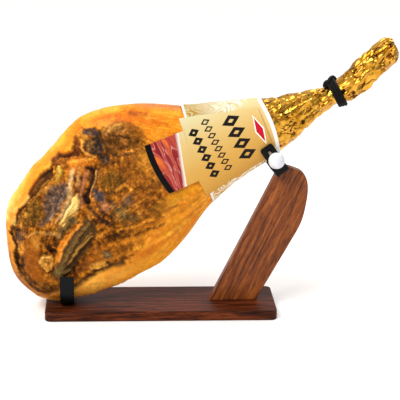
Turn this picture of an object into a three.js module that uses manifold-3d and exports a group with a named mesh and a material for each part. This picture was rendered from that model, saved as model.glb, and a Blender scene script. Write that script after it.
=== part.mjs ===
// A whole cured ham on its wooden carving stand, in millimetres, +Z up.
// Origin: the centre of the base board's underside. X runs along the board towards the post,
// and Y runs away from the viewer, through the thickness of the ham.
import * as THREE from "three";
import { mergeVertices } from "three/addons/utils/BufferGeometryUtils.js";
import Module from "manifold-3d";

const wasm = await Module();
wasm.setup();

// Driving dimensions.
const fitGap = 0.3; // between pieces that touch
const board = { length: 416, width: 145, thickness: 18, cornerRadius: 12, edge: 2.5 };
const post = {
  thickness: 20,
  footFront: 89,
  footBack: 174,
  edge: 1.2,
  backCurve: [[243, 142], [258, 169], [259, 182], [263, 206], [267, 234], [264, 256], [244, 262.5]],
  crown: [236, 265.5],
};
const strip = { width: 25, thickness: 3 }; // the steel strip that both brackets are bent from
const cradle = { x: -168, halfInside: 61.5, height: 60, roundness: 2.9 };
const clamp = {
  foot: { x: 214.8, z: 260.1 }, // the middle of its underside
  lean: THREE.MathUtils.degToRad(35),
  twist: THREE.MathUtils.degToRad(5), // it has turned a little on its fixing
  splay: THREE.MathUtils.degToRad(5), // its arms spread round the shank
  height: 60.7,
  halfInside: 34, // at the foot
  bend: 6,
  cornerRadius: 5,
};
const screw = { radius: 3, hole: 3.3, up: 48, tip: 5, ballRadius: 14.5, ballOut: 57, collarRadius: 6.5 };

// The leg's own frame: s runs from the hip end to the hoof, n across it in the plane of the board,
// and y through it. It starts at legStart and rises at legAngle.
const legStart = { x: -268, z: 111 };
const legAngle = THREE.MathUtils.degToRad(27);
const hipEnd = -16;
const wrapStart = 480; // where the leg goes into the foil, under the paper sleeve
const hoofEnd = 777;
const hipRounding = 76; // length of the rounded hip end
const hoofRounding = 14;
const restHeight = board.thickness + strip.thickness + 0.6; // pressed flat in the cradle

// The paper sleeve. Its two ends lean a little, so that s there changes with n.
const sleeve = { from: 377, to: 518, leanFrom: 0.15, leanTo: 0.11, thickness: 0.8, loose: 1 };

// The front label: a card on the sleeve, with a tongue that reaches over the lean face. Pairs are
// the values at the foot and the top of an edge, or at its left and its right end.
const label = {
  thickness: 0.8,
  outset: 3, // over the leg: past the sleeve and the gaps
  tongueFrom: 306,
  tongueBulge: 5,
  tongueTop: [77, 68],
  tongueBottom: [-19, -24],
  bodyFrom: [362, 380],
  bodyTo: [505, 512],
  bodyTop: [90, 41],
  bodyBottom: [-56, -48],
};

// The cord: turns round the ankle, a strand laid back over them, and its knot.
const cord = { radius: 3.6, pitch: 7.5, turns: 3, start: 641, lift: 4.1, over: 5.4, knot: 6.6 };

// The foil: how deep its flutes and its random crumples are, and where it hangs loose.
const foil = { flute: 1.1, crumple: 2.2, looseFrom: 524, cordAt: 645 };

// Along the leg: place, centre line, half width, half thickness.
const legStations = [
  [-16, -39.5, 66, 40],
  [0, -35.5, 88, 46],
  [25, -23.5, 103, 51],
  [60, -15.5, 112, 55],
  [100, -8, 127.5, 59.5],
  [150, 0, 139, 63],
  [200, 9, 148.5, 64.5],
  [225, 12.5, 151.5, 64.5],
  [250, 15.5, 148.5, 64],
  [300, 19, 131.5, 60.5],
  [350, 20, 106, 54],
  [400, 14, 82.5, 46.5],
  [450, 8, 68.5, 40.5],
  [500, 0, 56.5, 36],
  [550, -4, 40, 29],
  [600, -4, 25, 21.5],
  [634, -4.5, 17.5, 17],
  [658, -5.5, 21, 19],
  [692, 0, 26, 22.5],
  [722, 9, 25, 21.5],
  [750, 17.5, 24.5, 20.5],
  [777, 24, 23.5, 19],
];

// Forms of the cut face, in the leg's frame. A mound is an oval rise, or a hollow if its height is
// negative: place, half length, half width, turn in degrees, height.
const faceMounds = {
  knuckle: [284, 107, 40, 31, -10, 8],
  rump: [46, -24, 30, 40, 15, 6],
  olivePatch: [74, 58, 24, 30, 0, 3],
  bladeHollow: [114, 62, 42, 17, 36, -8],
  socket: [225, 40, 30, 27, 0, -3.5],
  socketRim: [196, 12, 26, 20, 30, 4],
  yellowLump: [154, 108, 13, 18, 20, 5],
  upperHollow: [108, 103, 34, 10, 48, -4],
  kneeHollow: [232, 92, 20, 16, 10, -4],
  lowerCheek: [200, -84, 60, 26, -12, 4],
};

// A ridge is a raised line, or a furrow if its height is negative: points, half width, height.
const faceRidges = {
  hipBone: [[[200, 120], [178, 84], [160, 60], [114, 30]], 10, 8],
  foldLine: [[[228, 112], [205, 82], [183, 54], [170, 18]], 5, -6],
  spindle: [[[164, -4], [120, -30], [72, -60]], 13, 7],
  spindleUpperFurrow: [[[150, 14], [104, -14], [62, -44]], 5, -5],
  spindleLowerFurrow: [[[170, -28], [128, -50], [84, -76]], 5, -5],
  longCrack: [[[186, -46], [230, -64], [282, -74]], 3.5, -3],
  upperCrease: [[[240, 140], [225, 124], [214, 108]], 7, -5],
  longFold: [[[250, -30], [310, -48], [360, -52]], 8, 2.5],
};

// The outline of the lean face, inside the rim of fat and rind, and how deep it lies.
const leanOutline = [
  [190, 136], [150, 126], [89, 98], [43, 63], [10, 20], [2, -20], [19, -74], [56, -94], [110, -99],
  [168, -102], [225, -78], [285, -50], [330, 0], [345, 50], [325, 96], [262, 148],
];
const lean = { depth: 6, shallowDepth: 1.5, deepUntil: 150, shallowFrom: 290, slope: 12 };

// Eases from 0 at a to 1 at b.
function ease(a, b, value) {
  const t = THREE.MathUtils.clamp((value - a) / (b - a), 0, 1);
  return t * t * (3 - 2 * t);
}

// Reads one column of the stations at s, on a smooth curve through them.
function stationValue(s, column) {
  const last = legStations.length - 1;
  let i = 0;
  while (i < last - 1 && s > legStations[i + 1][0]) i += 1;
  const [s0, s1] = [legStations[i][0], legStations[i + 1][0]];
  const slopeAt = (k) => {
    const [a, b] = [legStations[Math.max(k - 1, 0)], legStations[Math.min(k + 1, last)]];
    return (b[column] - a[column]) / (b[0] - a[0]);
  };
  const h = s1 - s0;
  const t = THREE.MathUtils.clamp((s - s0) / h, 0, 1);
  const [v0, v1] = [legStations[i][column], legStations[i + 1][column]];
  return (
    v0 * (2 * t ** 3 - 3 * t ** 2 + 1) +
    slopeAt(i) * h * (t ** 3 - 2 * t ** 2 + t) +
    v1 * (3 * t ** 2 - 2 * t ** 3) +
    slopeAt(i + 1) * h * (t ** 3 - t ** 2)
  );
}

// How far the rounded ends have closed at s: 1 along the leg, 0 at its two ends.
function endClosing(s) {
  const hip = THREE.MathUtils.clamp((hipEnd + hipRounding - s) / hipRounding, 0, 1);
  const hoof = THREE.MathUtils.clamp((s - hoofEnd + hoofRounding) / hoofRounding, 0, 1);
  return Math.sqrt(Math.max(1 - hip ** 2, 0)) * (1 - hoof ** 2) ** 0.25;
}

// The size and roundness of the leg's section at s.
function section(s) {
  const closing = endClosing(s);
  const thickness = stationValue(s, 3) * closing;
  const flat = 1 - ease(380, 520, s); // the ham's body has one flat face, and its shank is oval
  const shift = 0.14 * flat * ease(20, 130, s); // the rim lies nearer to the flat face
  return {
    centre: stationValue(s, 1),
    halfWidth: stationValue(s, 2) * closing,
    rim: -shift * thickness,
    front: thickness * (1 - shift),
    back: thickness * (1 + shift),
    frontPower: 2 / (2.3 + 0.45 * flat),
    backPower: 2 / (2.3 - 0.15 * flat),
  };
}

const signedPower = (v, p) => Math.sign(v) * Math.abs(v) ** p;

// Slow swells that any grown thing has, in mm.
function swell(s, n, y) {
  return (
    0.9 * Math.sin(s / 23 + n / 41 + 1.3) * Math.cos(n / 27 - y / 33 + 0.4) +
    0.6 * Math.sin(s / 13 - n / 17 + y / 19 + 2.1)
  );
}

// The closest distance from (s, n) to a line of points.
function distanceToLine(s, n, points) {
  let best = Infinity;
  for (let i = 0; i + 1 < points.length; i += 1) {
    const [a, b] = [points[i], points[i + 1]];
    const [ds, dn] = [b[0] - a[0], b[1] - a[1]];
    const t = THREE.MathUtils.clamp(
      ((s - a[0]) * ds + (n - a[1]) * dn) / (ds * ds + dn * dn), 0, 1);
    best = Math.min(best, Math.hypot(s - a[0] - t * ds, n - a[1] - t * dn));
  }
  return best;
}

const smoothLine = (points, closed, steps) =>
  new THREE.CatmullRomCurve3(points.map(([s, n]) => new THREE.Vector3(s, n, 0)), closed)
    .getPoints(steps)
    .map((p) => [p.x, p.y]);

const leanCurve = smoothLine(leanOutline, true, 64);
const ridgeCurves = Object.values(faceRidges).map(([points, halfWidth, height]) => ({
  curve: smoothLine(points, false, 12),
  halfWidth,
  height,
}));

// The distance into the lean face from its edge, negative outside it.
function depthIntoLean(s, n) {
  let inside = false;
  for (let i = 0, j = leanCurve.length - 1; i < leanCurve.length; j = i, i += 1) {
    const [a, b] = [leanCurve[i], leanCurve[j]];
    if (a[1] > n !== b[1] > n && s < ((b[0] - a[0]) * (n - a[1])) / (b[1] - a[1]) + a[0]) {
      inside = !inside;
    }
  }
  return distanceToLine(s, n, leanCurve) * (inside ? 1 : -1);
}

// The relief of the cut face at (s, n), in mm outwards.
function faceRelief(s, n) {
  const shallow = ease(lean.deepUntil, lean.shallowFrom, s);
  const depth = THREE.MathUtils.lerp(lean.depth, lean.shallowDepth, shallow);
  let height = -depth * ease(-lean.slope / 2, lean.slope, depthIntoLean(s, n));
  for (const [ms, mn, halfLength, halfWidth, turn, rise] of Object.values(faceMounds)) {
    const angle = THREE.MathUtils.degToRad(turn);
    const u = ((s - ms) * Math.cos(angle) + (n - mn) * Math.sin(angle)) / halfLength;
    const v = ((n - mn) * Math.cos(angle) - (s - ms) * Math.sin(angle)) / halfWidth;
    height += rise * Math.exp(-1.4 * (u * u + v * v));
  }
  for (const { curve, halfWidth, height: rise } of ridgeCurves) {
    height += rise * Math.exp(-1.4 * (distanceToLine(s, n, curve) / halfWidth) ** 2);
  }
  return height;
}

// From the leg's frame to the part's.
function fromLeg(s, n, y) {
  return new THREE.Vector3(
    legStart.x + s * Math.cos(legAngle) - n * Math.sin(legAngle),
    y,
    legStart.z + s * Math.sin(legAngle) + n * Math.cos(legAngle),
  );
}

// A point on the plain leg at s, at an angle round its section, and outset by so many mm.
// The angle is 0 at the upper edge, and a quarter turn is the middle of the cut face.
function onLeg(s, angle, outset = 0) {
  const { centre, halfWidth, rim, front, back, frontPower, backPower } = section(s);
  const power = Math.sin(angle) > 0 ? frontPower : backPower;
  const depth = (Math.sin(angle) > 0 ? front : back) + outset;
  const n = centre + (halfWidth + outset) * signedPower(Math.cos(angle), power);
  const y = rim - depth * signedPower(Math.sin(angle), power);
  return { s, n, y };
}

// The ham's own surface: the plain leg with its swells and the relief of its cut face.
function onHam(s, angle) {
  const plain = onLeg(s, angle);
  const bare = 1 - ease(300, 385, s); // smooth where the paper lies on it
  const closing = endClosing(s);
  const facing = Math.max(Math.sin(angle), 0) ** 0.7;
  const relief = faceRelief(plain.s, plain.n) * facing * bare * Math.min(closing * 1.5, 1);
  const outwards = swell(plain.s, plain.n, plain.y) * bare * closing;
  return {
    s: plain.s,
    n: plain.n + outwards * Math.cos(angle),
    y: plain.y - relief - outwards * Math.sin(angle),
  };
}

// A closed skin from rings of points. Each end closes on a point, or on its flat face's middle.
function skin(rings, startPoint, endPoint) {
  const count = rings[0].length;
  const points = [startPoint, ...rings.flat(), endPoint];
  const index = [];
  for (let k = 0; k < count; k += 1) {
    const next = (k + 1) % count;
    index.push(0, 1 + next, 1 + k);
    for (let r = 0; r + 1 < rings.length; r += 1) {
      const [a, b] = [1 + r * count + k, 1 + r * count + next];
      index.push(a, b, a + count, b, b + count, a + count);
    }
    const last = 1 + (rings.length - 1) * count;
    index.push(points.length - 1, last + k, last + next);
  }
  const geometry = new THREE.BufferGeometry().setFromPoints(points);
  geometry.setIndex(index);
  geometry.computeVertexNormals();
  return geometry;
}

const angleStep = (k, count) => (2 * Math.PI * k) / count;

// The ham: the lean face towards the viewer, fat and rind round its rim and over its back.
function makeHam() {
  const count = 56;
  const ringGap = 9;
  const places = [-15.6, -14.4, -12, -8.5, -4, 1.5];
  while (places.at(-1) + ringGap < wrapStart - 4) places.push(places.at(-1) + ringGap);
  places.push(wrapStart);
  const rings = places.map((s) =>
    Array.from({ length: count }, (_, k) => {
      const p = onHam(s, angleStep(k, count));
      const point = fromLeg(p.s, p.n, p.y);
      point.z = Math.max(point.z, restHeight);
      return point;
    }));
  const hip = fromLeg(hipEnd, section(hipEnd).centre, 0);
  return skin(rings, hip, fromLeg(wrapStart, section(wrapStart).centre, 0));
}

// Random numbers from 0 to 1, the same each run.
function seeded(seed) {
  let state = seed;
  return () => {
    state = (state * 1664525 + 1013904223) % 4294967296;
    return state / 4294967296;
  };
}

// Crumpled foil over the shank and the hoof, gathered in at the ankle.
function makeWrap() {
  const count = 28;
  const ringGap = 7.8;
  const random = seeded(11);
  const places = [wrapStart + fitGap];
  while (places.at(-1) + ringGap < hoofEnd - 6) places.push(places.at(-1) + ringGap);
  places.push(hoofEnd - 4, hoofEnd - 0.6);
  const rings = places.map((s) =>
    Array.from({ length: count }, (_, k) => {
      const angle = angleStep(k, count);
      const flute = foil.flute * Math.sin(5 * angle + s / 21);
      const awayFromCord = ease(12, 20, Math.abs(s - foil.cordAt));
      const loose = ease(foil.looseFrom, foil.looseFrom + 16, s) * awayFromCord;
      const p = onLeg(s, angle, (flute + foil.crumple * (random() - 0.5)) * loose);
      return fromLeg(p.s, p.n, p.y);
    }));
  const start = fromLeg(wrapStart + fitGap, section(wrapStart).centre, 0);
  return skin(rings, start, fromLeg(hoofEnd, section(hoofEnd).centre, 0));
}

// A point on a layer that lies over the leg, a share of the way along the sleeve.
function onSleeve(share, angle, outset) {
  let s = THREE.MathUtils.lerp(sleeve.from, sleeve.to, share);
  for (let pass = 0; pass < 3; pass += 1) {
    const { n } = onLeg(s, angle, outset);
    s = THREE.MathUtils.lerp(
      sleeve.from + sleeve.leanFrom * n, sleeve.to + sleeve.leanTo * n, share);
  }
  const p = onLeg(s, angle, outset);
  return fromLeg(p.s, p.n, p.y);
}

// The sleeve, a band of paper round the leg.
function makeSleeve() {
  const count = 48;
  const steps = 5;
  const inner = sleeve.loose;
  const outer = inner + sleeve.thickness;
  const path = [];
  for (let i = 0; i <= steps; i += 1) path.push([i / steps, outer]);
  for (let i = steps; i >= 0; i -= 1) path.push([i / steps, inner]);
  const points = path.flatMap(([share, outset]) =>
    Array.from({ length: count }, (_, k) => onSleeve(share, angleStep(k, count), outset)));
  const index = [];
  for (let r = 0; r < path.length; r += 1) {
    for (let k = 0; k < count; k += 1) {
      const next = (k + 1) % count;
      const ringB = (r + 1) % path.length;
      const [a, b] = [r * count + k, r * count + next];
      const [c, d] = [ringB * count + k, ringB * count + next];
      index.push(a, b, c, b, d, c);
    }
  }
  const geometry = new THREE.BufferGeometry().setFromPoints(points);
  geometry.setIndex(index);
  return geometry;
}

// The leg's outset front surface at (s, n), as a y.
function frontAt(s, n, outset) {
  const { centre, halfWidth, rim, front, frontPower } = section(s);
  const across = Math.min(Math.abs(n - centre) / (halfWidth + outset), 1);
  return rim - (front + outset) * (1 - across ** (2 / frontPower)) ** (frontPower / 2);
}

// A card over the leg's front. Each place gives s at a share of the way up its column, and its
// limits are the column's lowest and highest n.
function makeCard(places, limits, rows, outset, thickness) {
  const grid = (lift) =>
    places.map((placeAt, i) =>
      Array.from({ length: rows + 1 }, (_, r) => {
        const s = placeAt(r / rows);
        const n = THREE.MathUtils.lerp(...limits[i], r / rows);
        return fromLeg(s, n, frontAt(s, n, lift));
      }));
  const [outer, inner] = [grid(outset + thickness), grid(outset)];
  const columns = places.length;
  const points = [...outer.flat(), ...inner.flat()];
  const at = (layer, i, r) => layer * columns * (rows + 1) + i * (rows + 1) + r;
  const index = [];
  for (let i = 0; i + 1 < columns; i += 1) {
    for (let r = 0; r < rows; r += 1) {
      index.push(at(0, i, r), at(0, i + 1, r), at(0, i + 1, r + 1));
      index.push(at(0, i, r), at(0, i + 1, r + 1), at(0, i, r + 1));
      index.push(at(1, i, r), at(1, i + 1, r + 1), at(1, i + 1, r));
      index.push(at(1, i, r), at(1, i, r + 1), at(1, i + 1, r + 1));
    }
    for (const [r, flip] of [[0, false], [rows, true]]) {
      const [a, b, c, d] = [at(0, i, r), at(0, i + 1, r), at(1, i, r), at(1, i + 1, r)];
      index.push(...(flip ? [a, b, c, c, b, d] : [a, c, b, b, c, d]));
    }
  }
  for (let r = 0; r < rows; r += 1) {
    for (const [i, flip] of [[0, false], [columns - 1, true]]) {
      const [a, b, c, d] = [at(0, i, r), at(0, i, r + 1), at(1, i, r), at(1, i, r + 1)];
      index.push(...(flip ? [a, c, b, b, c, d] : [a, b, c, c, b, d]));
    }
  }
  const geometry = new THREE.BufferGeometry().setFromPoints(points);
  geometry.setIndex(index);
  return geometry;
}

function makeFrontLabel() {
  const steps = 10;
  const bodyPlaces = Array.from({ length: steps + 1 }, (_, i) => (share) =>
    THREE.MathUtils.lerp(
      THREE.MathUtils.lerp(...label.bodyFrom, share),
      THREE.MathUtils.lerp(...label.bodyTo, share),
      i / steps,
    ));
  const bodyLimits = bodyPlaces.map((_, i) => [
    THREE.MathUtils.lerp(label.bodyBottom[0], label.bodyBottom[1], i / steps),
    THREE.MathUtils.lerp(label.bodyTop[0], label.bodyTop[1], i / steps),
  ]);
  const body = makeCard(bodyPlaces, bodyLimits, 12, label.outset, label.thickness);
  const tongueSteps = 5;
  const tonguePlaces = Array.from({ length: tongueSteps + 1 }, (_, i) => (share) => {
    const edge = label.tongueFrom - label.tongueBulge * (1 - (2 * share - 1) ** 2);
    return THREE.MathUtils.lerp(edge, label.bodyFrom[1] + 4, i / tongueSteps);
  });
  const tongueLimits = tonguePlaces.map((_, i) => [
    THREE.MathUtils.lerp(label.tongueBottom[0], label.tongueBottom[1], i / tongueSteps),
    THREE.MathUtils.lerp(label.tongueTop[0], label.tongueTop[1], i / tongueSteps),
  ]);
  const tongue = makeCard(tonguePlaces, tongueLimits, 6, label.outset, label.thickness);
  return fromSolid(toSolid(body).add(toSolid(tongue)));
}

// A closed three.js geometry as a solid that can be joined and cut.
function toSolid(geometry) {
  const bare = geometry.clone();
  for (const name of Object.keys(bare.attributes)) {
    if (name !== "position") bare.deleteAttribute(name);
  }
  const merged = mergeVertices(bare, 1e-3);
  return new wasm.Manifold(new wasm.Mesh({
    numProp: 3,
    vertProperties: merged.attributes.position.array,
    triVerts: new Uint32Array(merged.index.array),
  }));
}

// A solid back as a three.js geometry.
function fromSolid(solid) {
  const mesh = solid.getMesh();
  const geometry = new THREE.BufferGeometry();
  geometry.setAttribute("position", new THREE.BufferAttribute(mesh.vertProperties, 3));
  geometry.setIndex(new THREE.BufferAttribute(mesh.triVerts, 1));
  geometry.computeVertexNormals();
  return geometry;
}

function tube(points, radius, sides) {
  const circle = new THREE.Shape().absarc(0, 0, radius, 0, 2 * Math.PI);
  const curve = new THREE.CatmullRomCurve3(points);
  return new THREE.ExtrudeGeometry(circle, {
    steps: points.length - 1,
    curveSegments: sides / 2,
    extrudePath: curve,
  });
}

function makeCord() {
  const sides = 6;
  const perTurn = 16;
  const startAngle = -0.35; // just behind the upper edge
  const turns = Array.from({ length: cord.turns * perTurn + 1 }, (_, i) => {
    const turned = i / perTurn;
    const s = cord.start + cord.pitch * turned * (cord.turns - 1) / cord.turns;
    const p = onLeg(s, startAngle + 2 * Math.PI * turned, cord.lift);
    return fromLeg(p.s, p.n, p.y);
  });
  const endS = cord.start + cord.pitch * (cord.turns - 1);
  const strand = Array.from({ length: 9 }, (_, i) => {
    const t = i / 8;
    const s = THREE.MathUtils.lerp(endS, cord.start - 2, ease(0, 1, t));
    const lift = cord.lift + cord.over * Math.sin(Math.PI * Math.min(t * 1.2, 1)) ** 0.6;
    const p = onLeg(s, startAngle + 0.9 * (t - 0.15), lift);
    return fromLeg(p.s, p.n, p.y);
  });
  const knotPlace = onLeg(cord.start - cord.radius, startAngle + 0.55, cord.lift + 2.4);
  const knot = new THREE.SphereGeometry(cord.knot, 12, 8);
  knot.scale(1.0, 1.05, 0.85);
  knot.rotateY(-legAngle);
  knot.translate(...fromLeg(knotPlace.s, knotPlace.n, knotPlace.y).toArray());
  const joined = toSolid(tube(turns, cord.radius, sides))
    .add(toSolid(tube(strand, cord.radius, sides)))
    .add(toSolid(knot));
  return fromSolid(joined);
}

// The base board, lying flat, with its edges eased.
function makeBoard() {
  const [halfLength, halfWidth] = [board.length / 2, board.width / 2];
  const r = board.cornerRadius;
  const outline = new THREE.Shape();
  outline.absarc(halfLength - r, halfWidth - r, r, 0, Math.PI / 2);
  outline.absarc(r - halfLength, halfWidth - r, r, Math.PI / 2, Math.PI);
  outline.absarc(r - halfLength, r - halfWidth, r, Math.PI, 1.5 * Math.PI);
  outline.absarc(halfLength - r, r - halfWidth, r, 1.5 * Math.PI, 2 * Math.PI);
  const geometry = new THREE.ExtrudeGeometry(outline, {
    depth: board.thickness - 2 * board.edge,
    bevelThickness: board.edge,
    bevelSize: board.edge,
    bevelOffset: -board.edge,
    bevelSegments: 1,
    curveSegments: 5,
  });
  return geometry.translate(0, 0, board.edge);
}

// The leaning post, cut level at its foot and square to the leg at its top.
function makePost() {
  const onSeat = (along) => new THREE.Vector2(
    clamp.foot.x + along * Math.cos(clamp.lean) + fitGap * Math.sin(clamp.lean),
    clamp.foot.z + along * Math.sin(clamp.lean) - fitGap * Math.cos(clamp.lean),
  );
  const [seatFront, seatBack] = [onSeat(-strip.width / 2 - 1), onSeat(strip.width / 2 + 2)];
  const outline = new THREE.Shape();
  outline.moveTo(post.footFront, board.thickness);
  outline.lineTo(post.footBack, board.thickness);
  const [straightEnd, ...curve] = post.backCurve;
  outline.lineTo(...straightEnd);
  outline.bezierCurveTo(...curve.slice(0, 3).flat());
  outline.bezierCurveTo(...curve.slice(3).flat());
  outline.quadraticCurveTo(...post.crown, seatBack.x, seatBack.y);
  outline.lineTo(seatFront.x, seatFront.y);
  const geometry = new THREE.ExtrudeGeometry(outline, {
    depth: post.thickness - 2 * post.edge,
    bevelThickness: post.edge,
    bevelSize: post.edge,
    bevelOffset: -post.edge,
    bevelSegments: 1,
    curveSegments: 8,
  });
  geometry.rotateX(Math.PI / 2);
  return geometry.translate(0, post.thickness / 2 - post.edge, 0);
}

// The cradle: a strip bent into a deep U, screwed flat to the board under the hip end.
function makeCradle() {
  const steps = 26;
  const outline = new THREE.Shape();
  const wall = (outset, k) => {
    const angle = Math.PI * (k / steps);
    const across = signedPower(Math.cos(angle), 2 / cradle.roundness);
    const down = signedPower(Math.sin(angle), 2 / cradle.roundness);
    const inset = cradle.height + strip.thickness;
    return [
      (cradle.halfInside + outset) * across,
      board.thickness + inset - (cradle.height + outset) * down,
    ];
  };
  for (let k = 0; k <= steps; k += 1) {
    outline[k ? "lineTo" : "moveTo"](...wall(strip.thickness, k));
  }
  for (let k = steps; k >= 0; k -= 1) outline.lineTo(...wall(0, k));
  const geometry = new THREE.ExtrudeGeometry(outline, { depth: strip.width, bevelEnabled: false });
  geometry.rotateX(Math.PI / 2);
  geometry.rotateZ(Math.PI / 2);
  return geometry.translate(cradle.x - strip.width / 2, 0, 0);
}

// Half the clamp's width at a height over its foot.
const clampHalfWidth = (height) =>
  clamp.halfInside + strip.thickness + height * Math.tan(clamp.splay);

// The clamp: a strip bent into a square U that the shank is wedged in, holed for its screw.
// Its own frame has X across the strip, Y between the arms, and Z up the arms from the foot.
function makeClamp() {
  const { height, bend } = clamp;
  const [atBend, atTop] = [clampHalfWidth(bend), clampHalfWidth(height)];
  const t = strip.thickness;
  const outline = new THREE.Shape();
  outline.moveTo(-atTop, height);
  outline.lineTo(-atBend, bend);
  outline.absarc(bend - atBend, bend, bend, Math.PI, 1.5 * Math.PI);
  outline.absarc(atBend - bend, bend, bend, 1.5 * Math.PI, 2 * Math.PI);
  outline.lineTo(atTop, height);
  outline.lineTo(atTop - t, height);
  outline.absarc(atBend - bend, bend, bend - t, 0, -Math.PI / 2, true);
  outline.absarc(bend - atBend, bend, bend - t, -Math.PI / 2, -Math.PI, true);
  outline.lineTo(t - atTop, height);
  const bent = new THREE.ExtrudeGeometry(outline, {
    depth: strip.width,
    bevelEnabled: false,
    curveSegments: 4,
  });
  bent.rotateX(Math.PI / 2);
  bent.rotateZ(Math.PI / 2);
  bent.translate(-strip.width / 2, 0, 0);

  const face = new THREE.Shape(); // the strip from in front, with its tips rounded
  const half = strip.width / 2;
  const r = clamp.cornerRadius;
  face.moveTo(-half - 1, -1);
  face.lineTo(half + 1, -1);
  face.lineTo(half, height - r);
  face.absarc(half - r, height - r, r, 0, Math.PI / 2);
  face.absarc(r - half, height - r, r, Math.PI / 2, Math.PI);
  const tips = new THREE.ExtrudeGeometry(face, {
    depth: 2 * atTop + 2,
    bevelEnabled: false,
    curveSegments: 4,
  });
  tips.rotateX(Math.PI / 2);
  tips.translate(0, atTop + 1, 0);

  const hole = new THREE.CylinderGeometry(screw.hole, screw.hole, 12, 20);
  hole.rotateX(clamp.splay);
  hole.translate(0, -clampHalfWidth(screw.up), screw.up);
  return fromSolid(toSolid(bent).intersect(toSolid(tips)).subtract(toSolid(hole)));
}

// The clamp's screw stands out of the front arm along -Y, from the arm's outer face.
function makeScrewRod() {
  const front = -screw.ballOut - screw.ballRadius * 0.35;
  const profile = [
    new THREE.Vector2(0, front),
    new THREE.Vector2(screw.radius, front),
    new THREE.Vector2(screw.radius, screw.tip - 1.2),
    new THREE.Vector2(screw.radius - 1.2, screw.tip),
    new THREE.Vector2(0, screw.tip),
  ];
  return new THREE.LatheGeometry(profile, 16);
}

// The ball knob, bored for the rod, with a short collar towards the clamp.
function makeBall() {
  const { ballRadius, collarRadius } = screw;
  const centre = -screw.ballOut;
  const bore = screw.radius + fitGap;
  const boreEnd = centre - ballRadius * 0.35 - fitGap;
  const collar = centre + ballRadius + 1.5;
  const profile = [new THREE.Vector2(0, centre - ballRadius)];
  const meets = Math.asin(collarRadius / ballRadius);
  const steps = 10;
  for (let i = 1; i <= steps; i += 1) {
    const angle = ((Math.PI - meets) * i) / steps;
    profile.push(new THREE.Vector2(
      ballRadius * Math.sin(angle), centre - ballRadius * Math.cos(angle)));
  }
  profile.push(
    new THREE.Vector2(collarRadius, collar),
    new THREE.Vector2(bore, collar),
    new THREE.Vector2(bore, boreEnd),
    new THREE.Vector2(0, boreEnd),
  );
  return new THREE.LatheGeometry(profile, 16);
}

const finish = (color, roughness, metalness = 0) =>
  new THREE.MeshStandardMaterial({ color, roughness, metalness });

const finishes = {
  curedMeat: finish(0xb9771f, 0.5),
  goldFoil: finish(0xd9a13a, 0.28, 1),
  paper: finish(0xe8cf8e, 0.6),
  labelCard: finish(0xe4b869, 0.45),
  cord: finish(0x1c1a1c, 0.85),
  wood: finish(0x6d3415, 0.45),
  blackSteel: finish(0x17171b, 0.45, 0.3),
  screwSteel: finish(0xb8b8bc, 0.3, 1),
  whitePlastic: finish(0xf2f2f4, 0.2),
};

// Puts a named piece into a group.
function place(group, name, geometry, material) {
  const mesh = new THREE.Mesh(geometry, material);
  mesh.name = name;
  group.add(mesh);
  return mesh;
}

const leg = new THREE.Group();
place(leg, "ham", makeHam(), finishes.curedMeat);
place(leg, "foil_wrap", makeWrap(), finishes.goldFoil);
place(leg, "paper_sleeve", makeSleeve(), finishes.paper);
place(leg, "front_label", makeFrontLabel(), finishes.labelCard);
place(leg, "ankle_cord", makeCord(), finishes.cord);

const stand = new THREE.Group();
place(stand, "base_board", makeBoard(), finishes.wood);
place(stand, "post", makePost(), finishes.wood);
place(stand, "cradle", makeCradle(), finishes.blackSteel);

const clampFrame = new THREE.Group(); // set on the post's sloping seat
clampFrame.position.set(clamp.foot.x, 0, clamp.foot.z);
clampFrame.rotation.set(0, -clamp.lean, clamp.twist);
place(clampFrame, "shank_clamp", makeClamp(), finishes.blackSteel);

const clampScrew = new THREE.Group(); // slides out of the clamp's front arm
clampScrew.position.set(0, -clampHalfWidth(screw.up), screw.up);
clampScrew.rotation.x = clamp.splay;
place(clampScrew, "screw_rod", makeScrewRod(), finishes.screwSteel);
place(clampScrew, "ball_knob", makeBall(), finishes.whitePlastic);
clampFrame.add(clampScrew);
stand.add(clampFrame);

const hamOnStand = new THREE.Group();
hamOnStand.add(leg, stand);

export default hamOnStand;
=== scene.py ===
# A whole cured ham on its wooden carving stand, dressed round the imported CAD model.
# X runs along the base board towards the post, Y away from the viewer, Z up.
import bmesh
import bpy
import math
import numpy as np
from mathutils import Matrix, Vector, noise
from mathutils.bvhtree import BVHTree


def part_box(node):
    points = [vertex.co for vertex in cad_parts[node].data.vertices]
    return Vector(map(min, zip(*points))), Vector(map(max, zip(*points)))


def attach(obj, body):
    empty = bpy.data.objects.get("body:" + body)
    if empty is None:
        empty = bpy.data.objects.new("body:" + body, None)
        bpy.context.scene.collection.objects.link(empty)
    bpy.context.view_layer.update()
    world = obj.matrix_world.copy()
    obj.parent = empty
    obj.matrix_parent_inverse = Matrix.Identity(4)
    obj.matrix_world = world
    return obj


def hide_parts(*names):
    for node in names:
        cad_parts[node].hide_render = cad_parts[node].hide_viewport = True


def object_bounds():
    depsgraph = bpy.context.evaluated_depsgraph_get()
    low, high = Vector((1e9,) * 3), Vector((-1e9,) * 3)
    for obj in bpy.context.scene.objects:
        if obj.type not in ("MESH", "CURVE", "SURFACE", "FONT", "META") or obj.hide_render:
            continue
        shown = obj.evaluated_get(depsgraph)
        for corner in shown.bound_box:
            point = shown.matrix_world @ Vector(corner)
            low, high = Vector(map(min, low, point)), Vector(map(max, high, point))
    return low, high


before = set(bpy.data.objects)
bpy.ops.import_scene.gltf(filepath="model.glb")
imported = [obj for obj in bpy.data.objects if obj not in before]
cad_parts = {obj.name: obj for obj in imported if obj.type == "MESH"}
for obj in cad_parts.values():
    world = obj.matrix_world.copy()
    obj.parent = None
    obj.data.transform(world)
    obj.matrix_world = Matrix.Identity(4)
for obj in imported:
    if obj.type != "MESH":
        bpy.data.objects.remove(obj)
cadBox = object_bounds()
millimetre = 0.001


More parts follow.
